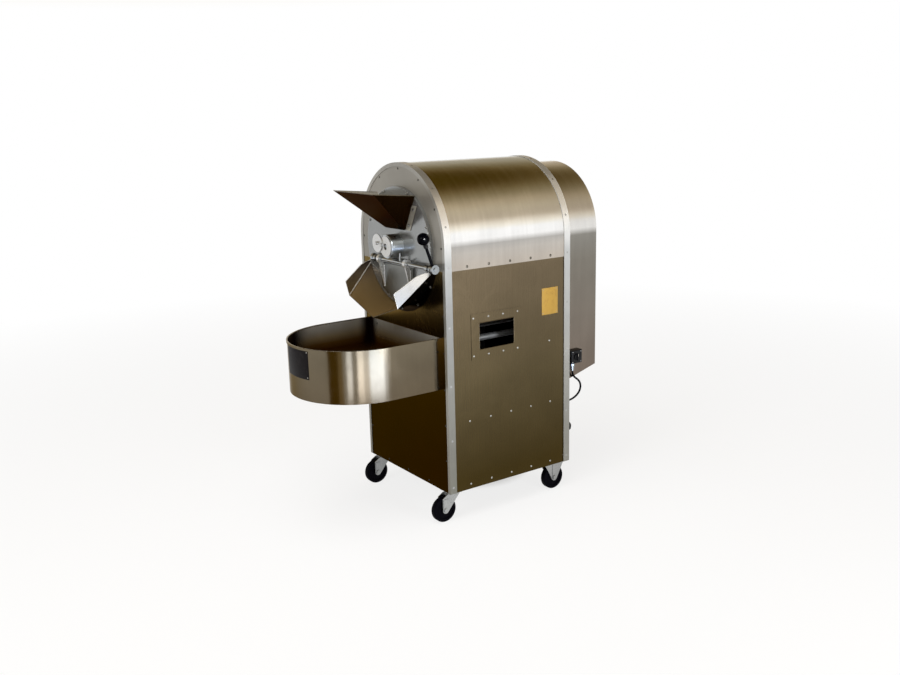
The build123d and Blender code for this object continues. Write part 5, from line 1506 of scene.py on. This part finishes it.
# Sub-assemblies
@dataclass
class Casing:
    """Rivets, hems and the bare plate of the sheet cabinet."""

    panel_x: float = 0.2965
    cover_x: float = 0.298
    trim_x: float = 0.300
    arch_z: float = ARCH_Z
    front_y: float = -0.1455
    rear_y: float = 0.4505
    rivet: HeadSize = (0.0042, 0.0014)
    lap_rivet: HeadSize = (0.0055, 0.0014)
    flush_rivet: HeadSize = (0.0042, 0.0004)
    first_rivet_y: float = -0.0475
    rivet_step: float = 0.1
    rivets_in_row: int = 5
    side_rows: tuple[float, ...] = (0.140, 0.394)
    odd_rivet: Pair = (0.3485, 0.647)
    lap_row: float = 0.987
    window_rivet_y: float = -0.0235
    window_step: float = 0.07
    window_rivets: int = 4
    window_rows: tuple[float, ...] = (0.644, 0.789)
    end_circle: float = 0.277
    end_angles: Sequence[int] = range(0, 181, 30)
    end_rivet_z: float = 0.25
    end_step: float = 0.14
    end_rivets: int = 5
    foot_step: float = 0.15
    foot_row: float = 0.134
    foot_rivets: int = 3
    trim_angles: Sequence[int] = range(15, 180, 30)
    trims: tuple[tuple[float, tuple[float, ...]], ...] = (
        (-0.1325, (0.145, 0.332, 0.545, 0.768, 0.990)),
        (0.4375, (0.145, 0.340, 0.594, 0.792, 0.990)),
    )
    window: Edges = (0.0025, 0.1685, 0.6653, 0.7683)
    hem_bead: float = 0.0011
    hem_corner: float = 0.004
    bare_plate: Edges = (0.3095, 0.3905, 0.754, 0.860)
    plate_thickness: float = 0.001
    plate_inset: float = 0.006
    plate_rivet: HeadSize = (0.002, 0.0007)

    def build(self, shop: Workshop) -> None:
        """Make every detail of the casing.

        Args:
            shop: Where pieces are made.
        """
        for name, seats, size, finish in (
                ("side_panel_rivets", self.side_seats(), self.rivet, Finishes.RIVET),
                ("cover_lap_rivets", self.lap_seats(), self.lap_rivet, Finishes.LAP_RIVET),
                ("window_frame_rivets", self.window_seats(), self.rivet, Finishes.RIVET),
                ("end_sheet_rivets", self.end_seats(), self.rivet, Finishes.END_RIVET)):
            shop.fasten(name, "cabinet", Head.RIVET, seats, size, finish)
        shop.fasten("trim_rivets", "cabinet", Head.RIVET, self.trim_seats(), self.flush_rivet,
                    Finishes.FLUSH_RIVET)
        self.window_hem(shop)
        self.plate(shop)

    def side_row(self, x: float, height: float) -> list[Seat]:
        """Rivets along one row of the right side."""
        return row((x, self.first_rivet_y, height), (0, self.rivet_step, 0), self.rivets_in_row, RIGHT)

    def side_seats(self) -> list[Seat]:
        """Rows of rivets along the side panels, and the odd one by the window."""
        rows = [seat for height in self.side_rows for seat in self.side_row(self.panel_x, height)]
        return mirrored(rows) + [(Vector((self.panel_x, *self.odd_rivet)), RIGHT)]

    def lap_seats(self) -> list[Seat]:
        """Rivets through the cover's lap over the side panels."""
        return mirrored(self.side_row(self.cover_x, self.lap_row))

    def window_seats(self) -> list[Seat]:
        """Rivets along the top and bottom of the window frame.

        Returns:
            The seats.
        """
        seats = []
        for height in self.window_rows:
            start = (self.cover_x, self.window_rivet_y, height)
            seats += row(start, (0, self.window_step, 0), self.window_rivets, RIGHT)
        return seats

    def end_seats(self) -> list[Seat]:
        """Rivets round the front and rear sheets.

        Returns:
            The seats.
        """
        seats = []
        for y, facing in ((self.front_y, FRONT), (self.rear_y, BACK)):
            seats += ring((0, y, self.arch_z), self.end_circle, self.end_angles, facing)
            start = (self.end_circle, y, self.end_rivet_z)
            seats += mirrored(row(start, (0, 0, self.end_step), self.end_rivets, facing))
            start = (-self.foot_step, y, self.foot_row)
            seats += row(start, (self.foot_step, 0, 0), self.foot_rivets, facing)
        return seats

    def trim_seats(self) -> list[Seat]:
        """Flush rivets along both edge trims.

        Returns:
            The seats.
        """
        seats = []
        for y, heights in self.trims:
            for height in heights:
                seats += mirrored([(Vector((self.trim_x, y, height)), RIGHT)])
            seats += ring((0, y, self.arch_z), self.trim_x, self.trim_angles)
        return seats

    def window_hem(self, shop: Workshop) -> None:
        """Folded edge round the burner window.

        Args:
            shop: Where pieces are made.
        """
        front, back, low, high = self.window
        x = self.cover_x
        line = [(x, front, low), (x, back, low), (x, back, high), (x, front, high)]
        shop.bead("window_hem", "cabinet", [line], self.hem_bead, Finishes.SIDE, corner=self.hem_corner,
                  closed=True)

    def plate(self, shop: Workshop) -> None:
        """Bare enamelled plate on the right panel, with its four small rivets.

        Args:
            shop: Where pieces are made.
        """
        front, back, low, high = self.bare_plate
        inset = self.plate_inset
        rows = [[Vector((self.panel_x, y, z)) for y in (front, back)] for z in (low, high)]
        shop.keep(shop.plate("bare_side_plate", rows, self.plate_thickness), "cabinet",
                  Finishes.YELLOW)
        seats = [(Vector((self.panel_x + self.plate_thickness, y, z)), RIGHT)
                 for y in (front + inset, back - inset) for z in (low + inset, high - inset)]
        shop.fasten("side_plate_rivets", "cabinet", Head.RIVET, seats, self.plate_rivet, Finishes.RIVET)


@dataclass
class FrontEnd:
    """Bolts, hems and painted fold highlights of the disc, hopper, spout and pan."""

    axis_z: float = DRUM_AXIS[2]
    flange_y: float = -0.1475
    disc_y: float = -0.1595
    bolt: HeadSize = (0.0044, 0.0042)
    disc_bolt_circle: float = 0.2175
    disc_bolt_angles: tuple[float, ...] = tuple(22.5 + 45.0 * index for index in range(8))
    spout_bolt_circle: float = 0.244
    spout_bolt_angles: Sequence[int] = range(-34, -147, -28)
    pan_bolt_x: float = 0.201
    pan_bolt_z: float = 0.56
    pan_bolt_step: float = 0.147
    pan_bolts: int = 2
    hub_radius: float = 0.046
    grub_y: float = -0.186
    grub_angles: Pair = (55.0, 125.0)
    grub_screw: HeadSize = (0.004, 0.0012)
    hopper_flange: float = 0.002
    hopper_bolts: tuple[Pair, ...] = ((0.0925, 1.131), (0.124, 1.190))
    hopper_edge: tuple[Point, ...] = ((0.1340, -0.1615, 1.2420), (0.1488, -0.3422, 1.2587))
    hopper_bead: float = 0.0016
    hopper_corner: float = 0.006
    spout_tip: Point = (0.0, -0.2795, 0.7822)
    cheek: tuple[Point, ...] = (
        (0.1815, -0.2795, 0.8428),
        (0.1810, -0.2933, 0.8990),
        (0.2016, -0.2090, 0.9549),
        (0.2091, -0.1779, 0.9650),
        (0.2170, -0.1480, 0.9668),
    )
    spout_bead: float = 0.0012
    lip_corner: float = 0.01
    cheek_corner: float = 0.006
    fold_bead: float = 0.0020
    fold_inset: float = 0.002
    fold_rise: float = 0.001
    pan_centre_y: float = PAN_AXIS[1]
    pan_radius: float = 0.260
    pan_wall: float = 0.257
    pan_rim_z: float = 0.7253
    rim_bead: float = 0.0028
    rim_steps: int = 48
    pan_plate_angles: Pair = (-105.0, -71.0)
    pan_plate_heights: Pair = (0.610, 0.718)
    pan_plate_steps: int = 24
    pan_plate_thickness: float = 0.0008
    pan_plate_inset: float = 0.007
    pan_plate_rivet: HeadSize = (0.0024, 0.0008)

    def build(self, shop: Workshop) -> None:
        """Make every detail of the front end.

        Args:
            shop: Where pieces are made.
        """
        disc = ring((0, self.disc_y, self.axis_z), self.disc_bolt_circle, self.disc_bolt_angles, FRONT)
        spout = ring((0, self.flange_y, self.axis_z), self.spout_bolt_circle, self.spout_bolt_angles, FRONT)
        hopper = [(Vector((x, self.disc_y - self.hopper_flange, z)), FRONT) for x, z in self.hopper_bolts]
        lowest = (self.pan_bolt_x, self.flange_y, self.pan_bolt_z)
        pan = row(lowest, (0, 0, self.pan_bolt_step), self.pan_bolts, FRONT)
        for name, seats in (("disc_bolts", disc), ("spout_bolts", spout), ("hopper_bolts", mirrored(hopper)),
                            ("pan_bolts", mirrored(pan))):
            shop.fasten(name, "cabinet", Head.HEX, seats, self.bolt, Finishes.ZINC)
        grubs = ring((0, self.grub_y, self.axis_z), self.hub_radius, self.grub_angles)
        shop.fasten("hub_grub_screws", "cabinet", Head.SCREW, grubs, self.grub_screw, Finishes.IRON)
        self.hopper_hem(shop)
        self.spout_hems(shop)
        self.pan_rim(shop)
        self.pan_plate(shop)

    def hopper_hem(self, shop: Workshop) -> None:
        """Folded hem along the hopper's upper edge."""
        line = [*self.hopper_edge, *reversed(flipped(self.hopper_edge))]
        shop.bead("hopper_hem", "cabinet", [line], self.hopper_bead, Finishes.DULL_HEM,
                  corner=self.hopper_corner)

    def spout_hems(self, shop: Workshop) -> None:
        """Hems along the spout's lip and cheeks, and painted highlights: bright beads along the folds where the
        cheeks turn up.

        Args:
            shop: Where pieces are made.
        """
        lip, root = self.cheek[0], self.cheek[-1]
        shop.bead("spout_lip", "cabinet", [[lip, self.spout_tip, *flipped([lip])]], self.spout_bead,
                  Finishes.DULL_HEM, corner=self.lip_corner)
        shop.bead("spout_cheek_hems", "cabinet", [self.cheek, flipped(self.cheek)], self.spout_bead,
                  Finishes.PAINTED_HIGHLIGHT_HEM, corner=self.cheek_corner)
        # Painted highlight: a bright bead along each fold.
        fold = [(x - self.fold_inset, y, z + self.fold_rise) for x, y, z in (lip, root)]
        shop.bead("spout_fold_highlights", "cabinet", [fold, flipped(fold)], self.fold_bead, Finishes.PAINTED_HIGHLIGHT_HEM)

    def pan_rim(self, shop: Workshop) -> None:
        """Wired rim round the pan.

        Args:
            shop: Where pieces are made.
        """
        radius = self.pan_radius - self.rim_bead
        z = self.pan_rim_z - self.rim_bead * 0.5
        line = [(radius, self.flange_y, z)]
        for step in range(self.rim_steps + 1):
            turn = math.radians(-180.0 * step / self.rim_steps)
            line.append((radius * math.cos(turn), self.pan_centre_y + radius * math.sin(turn), z))
        line.append((-radius, self.flange_y, z))
        shop.bead("pan_rim_wire", "cabinet", [line], self.rim_bead, Finishes.PAN_RIM)

    def pan_plate(self, shop: Workshop) -> None:
        """Bare black plate bent round the pan's front, with its four small rivets.

        Args:
            shop: Where pieces are made.
        """
        start, end = self.pan_plate_angles
        low, high = self.pan_plate_heights
        steps = self.pan_plate_steps
        turns = [math.radians(start + (end - start) * step / steps) for step in range(steps + 1)]
        wall, centre_y = self.pan_wall, self.pan_centre_y
        rows = [[Vector((wall * math.cos(turn), centre_y + wall * math.sin(turn), z)) for turn in turns]
                for z in (low, high)]
        shop.keep(shop.plate("bare_pan_plate", rows, self.pan_plate_thickness), "cabinet",
                  Finishes.BLACK_PLATE)
        seats = []
        for turn in (turns[1], turns[-2]):
            out = Vector((math.cos(turn), math.sin(turn), 0))
            for z in (low + self.pan_plate_inset, high - self.pan_plate_inset):
                seats.append((Vector((0, centre_y, z)) + out * (wall + self.pan_plate_thickness), out))
        shop.fasten("pan_plate_rivets", "cabinet", Head.RIVET, seats, self.pan_plate_rivet, Finishes.RIVET)


@dataclass
class DischargeGear:
    """Screws, welds and the ferrule of the door, its rod and lever."""

    rod_y: float = -0.1805
    rod_z: float = 0.9883
    lever_x: float = 0.276
    lever_lean: float = 19.5
    strap_x: float = 0.095
    strap_half: float = 0.003
    end_collar_x: float = -0.1423
    collar_radius: float = 0.016
    boss_radius: float = 0.017
    collar_screw: HeadSize = (0.0036, 0.0016)
    bracket_sides: Pair = (-0.128, 0.240)
    bracket_y: float = -0.166
    bracket_rise: float = 0.013
    bracket_bolt: HeadSize = (0.0040, 0.0036)
    door_y: float = -0.1658
    weld_heights: Pair = (0.878, 0.962)
    weld_bead: float = 0.0015
    ferrule: tuple[Pair, ...] = ((0.0, 0.0855), (0.0074, 0.0855), (0.0086, 0.0868), (0.0086, 0.0965),
                                 (0.0070, 0.0990), (0.0, 0.0990))

    def build(self, shop: Workshop) -> None:
        """Make every detail of the discharge gear.

        Args:
            shop: Where pieces are made.
        """
        top = self.rod_z + self.collar_radius
        collars = (self.end_collar_x, -self.strap_x, self.strap_x)
        screws = [(Vector((x, self.rod_y, top)), UP) for x in collars]
        screws.append((Vector((self.lever_x, self.rod_y - self.boss_radius, self.rod_z)), FRONT))
        shop.fasten("collar_screws", "discharge_gear", Head.SCREW, screws, self.collar_screw, Finishes.IRON)
        top = self.rod_z + self.bracket_rise
        brackets = [(Vector((x, self.bracket_y, top)), UP) for x in self.bracket_sides]
        shop.fasten("bracket_screws", "cabinet", Head.HEX, brackets, self.bracket_bolt, Finishes.ZINC)
        edges = [x + side * self.strap_half for x in (-self.strap_x, self.strap_x) for side in SIDES]
        welds = [[(edge, self.door_y, height) for height in self.weld_heights] for edge in edges]
        shop.bead("strap_welds", "discharge_gear", welds, self.weld_bead, Finishes.STRAP, slot="satin_steel")
        lean = math.radians(self.lever_lean)
        along = Vector((0, -math.sin(lean), math.cos(lean)))
        root = Vector((self.lever_x, self.rod_y, self.rod_z))
        ferrule = shop.lathe("lever_ferrule", self.ferrule, root, along)
        shop.keep(ferrule, "discharge_gear", Finishes.PLASTIC)


@dataclass
class Burners:
    """Drilled ports along the burner tubes."""

    sides: tuple[float, ...] = (-0.195, 0.0, 0.195)
    axis_z: float = 0.6823
    tube_radius: float = 0.012
    first_y: float = -0.10
    step: float = 0.02
    count: int = 25
    spread: float = 35.0
    port: HeadSize = (0.0016, 0.0003)

    def build(self, shop: Workshop) -> None:
        """Make the ports.

        Args:
            shop: Where pieces are made.
        """
        seats = []
        for x in self.sides:
            for place, out in ring((x, self.first_y, self.axis_z), self.tube_radius,
                                   (90 - self.spread, 90 + self.spread)):
                seats += row(tuple(place), (0, self.step, 0), self.count, out)
        shop.fasten("burner_ports", "cabinet", Head.PORT, seats, self.port, Finishes.PORT)


@dataclass
class RearGear:
    """Screws of the drive housing and the switch, and the knobs' marks."""

    housing_x: float = 0.270
    screw_y: float = 0.464
    first_screw_z: float = 0.50
    screw_step: float = 0.12
    screws_in_row: int = 5
    arch_z: float = ARCH_Z
    arch_angles: Sequence[int] = range(30, 151, 30)
    housing_screw: HeadSize = (0.0038, 0.0016)
    switch_face_x: float = 0.288
    switch_mid: Pair = (0.5035, 0.55259)
    switch_screw_reach: Pair = (0.0215, 0.021)
    switch_screw: HeadSize = (0.0022, 0.0008)
    knob_face_x: float = 0.298
    switch_mark_half: float = 0.0008
    switch_mark_ends: Pair = (0.004, 0.0125)
    gas_knob: Point = (0.247, 0.5028, 0.2503)
    gas_mark_half: float = 0.001
    gas_mark_ends: Pair = (0.001, 0.008)
    mark_thickness: float = 0.0003

    def build(self, shop: Workshop) -> None:
        """Make every detail of the rear gear.

        Args:
            shop: Where pieces are made.
        """
        seats = mirrored(row((self.housing_x, self.screw_y, self.first_screw_z), (0, 0, self.screw_step),
                             self.screws_in_row, RIGHT))
        seats += ring((0, self.screw_y, self.arch_z), self.housing_x, self.arch_angles)
        shop.fasten("housing_screws", "cabinet", Head.SCREW, seats, self.housing_screw, Finishes.ZINC)
        mid_y, mid_z = self.switch_mid
        reach_y, reach_z = self.switch_screw_reach
        corners = [(Vector((self.switch_face_x, mid_y + reach_y * y, mid_z + reach_z * z)), RIGHT)
                   for y in SIDES for z in SIDES]
        shop.fasten("switch_screws", "cabinet", Head.SCREW, corners, self.switch_screw, Finishes.ZINC)
        half, face_x = self.switch_mark_half, self.knob_face_x
        rows = [[Vector((face_x, mid_y + half * side, mid_z + height)) for side in SIDES]
                for height in self.switch_mark_ends]
        mark = shop.plate("switch_mark", rows, self.mark_thickness)
        shop.keep(mark, "switch", Finishes.MARK)
        x, y, z = self.gas_knob
        rows = [[Vector((x + self.gas_mark_half * side, y, z + height)) for height in self.gas_mark_ends]
                for side in SIDES]
        mark = shop.plate("gas_knob_mark", rows, self.mark_thickness)
        shop.keep(mark, "gas_control", Finishes.MARK)


@dataclass
class Casters:
    """Bolts of the four casters and the king-pin heads of the two that swivel."""

    side: float = 0.255
    swivel_y: float = -0.1135
    fixed_y: float = 0.396
    plate_z: float = 0.1183
    crown_z: float = 0.108
    bolt_x: float = 0.030
    swivel_bolt_y: float = 0.023
    fixed_bolt_y: float = 0.044
    bolt: HeadSize = (0.0050, 0.0038)
    king_pin: HeadSize = (0.0095, 0.0035)

    def build(self, shop: Workshop) -> None:
        """Make the bolts and king-pin heads.

        Args:
            shop: Where pieces are made.
        """
        bolts, pins = [], []
        for x in (-self.side, self.side):
            pins.append((Vector((x, self.swivel_y, self.crown_z)), DOWN))
            for y, reach in ((self.swivel_y, self.swivel_bolt_y), (self.fixed_y, self.fixed_bolt_y)):
                bolts += [(Vector((x + self.bolt_x * a, y + reach * b, self.plate_z)), DOWN)
                          for a in SIDES for b in SIDES]
        shop.fasten("caster_bolts", "cabinet", Head.HEX, bolts, self.bolt, Finishes.ZINC)
        shop.fasten("caster_king_pins", "cabinet", Head.RIVET, pins, self.king_pin, Finishes.ZINC)


@dataclass
class SwitchLead:
    """Short lead from the switch box back into the rear panel."""

    route: tuple[Point, ...] = (
        (0.2798, 0.4855, 0.49409),
        (0.2798, 0.4855, 0.4740),
        (0.2775, 0.5280, 0.4450),
        (0.2730, 0.5400, 0.4140),
        (0.2670, 0.5310, 0.3850),
        (0.2620, 0.5000, 0.3653),
        (0.2620, 0.4815, 0.3653),
    )
    diameter: float = 0.008
    length: float = 0.184
    smoothness: int = 12
    roundness: int = 4

    def build(self, shop: Workshop) -> None:
        """Make the lead along its route.

        Args:
            shop: Where pieces are made.
        """
        curve = bpy.data.curves.new("switch_lead_cable", "CURVE")
        curve.dimensions = "3D"
        curve.resolution_u = self.smoothness
        curve.bevel_depth = self.diameter / 2
        curve.bevel_resolution = self.roundness
        curve.use_fill_caps = True
        spline = curve.splines.new("NURBS")
        spline.points.add(len(self.route) - 1)
        for point, place in zip(spline.points, self.route):
            point.co = (*place, 1.0)
        spline.order_u = 3
        spline.use_endpoint_u = True
        lead = link("switch_lead_cable", curve)
        curve.materials.append(shop.finishes.get(Finishes.RUBBER))
        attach(lead, "cabinet")
        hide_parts("switch_lead")
        LOG.info("switch_lead_cable on cabinet: %.3f m", self.length)


def main() -> None:
    """Dress the whole machine."""
    logging.basicConfig(level=logging.INFO, format="%(name)s: %(message)s")
    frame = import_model()
    PhotoCamera().place()
    shop = Workshop(frame)
    SwitchLead().build(shop)
    Studio().build(shop.nodes)
    shop.finishes.dress(shop.nodes)
    for assembly in (Casing(), FrontEnd(), DischargeGear(), Burners(), RearGear(), Casters()):
        assembly.build(shop)


if __name__ == "__main__":
    main()
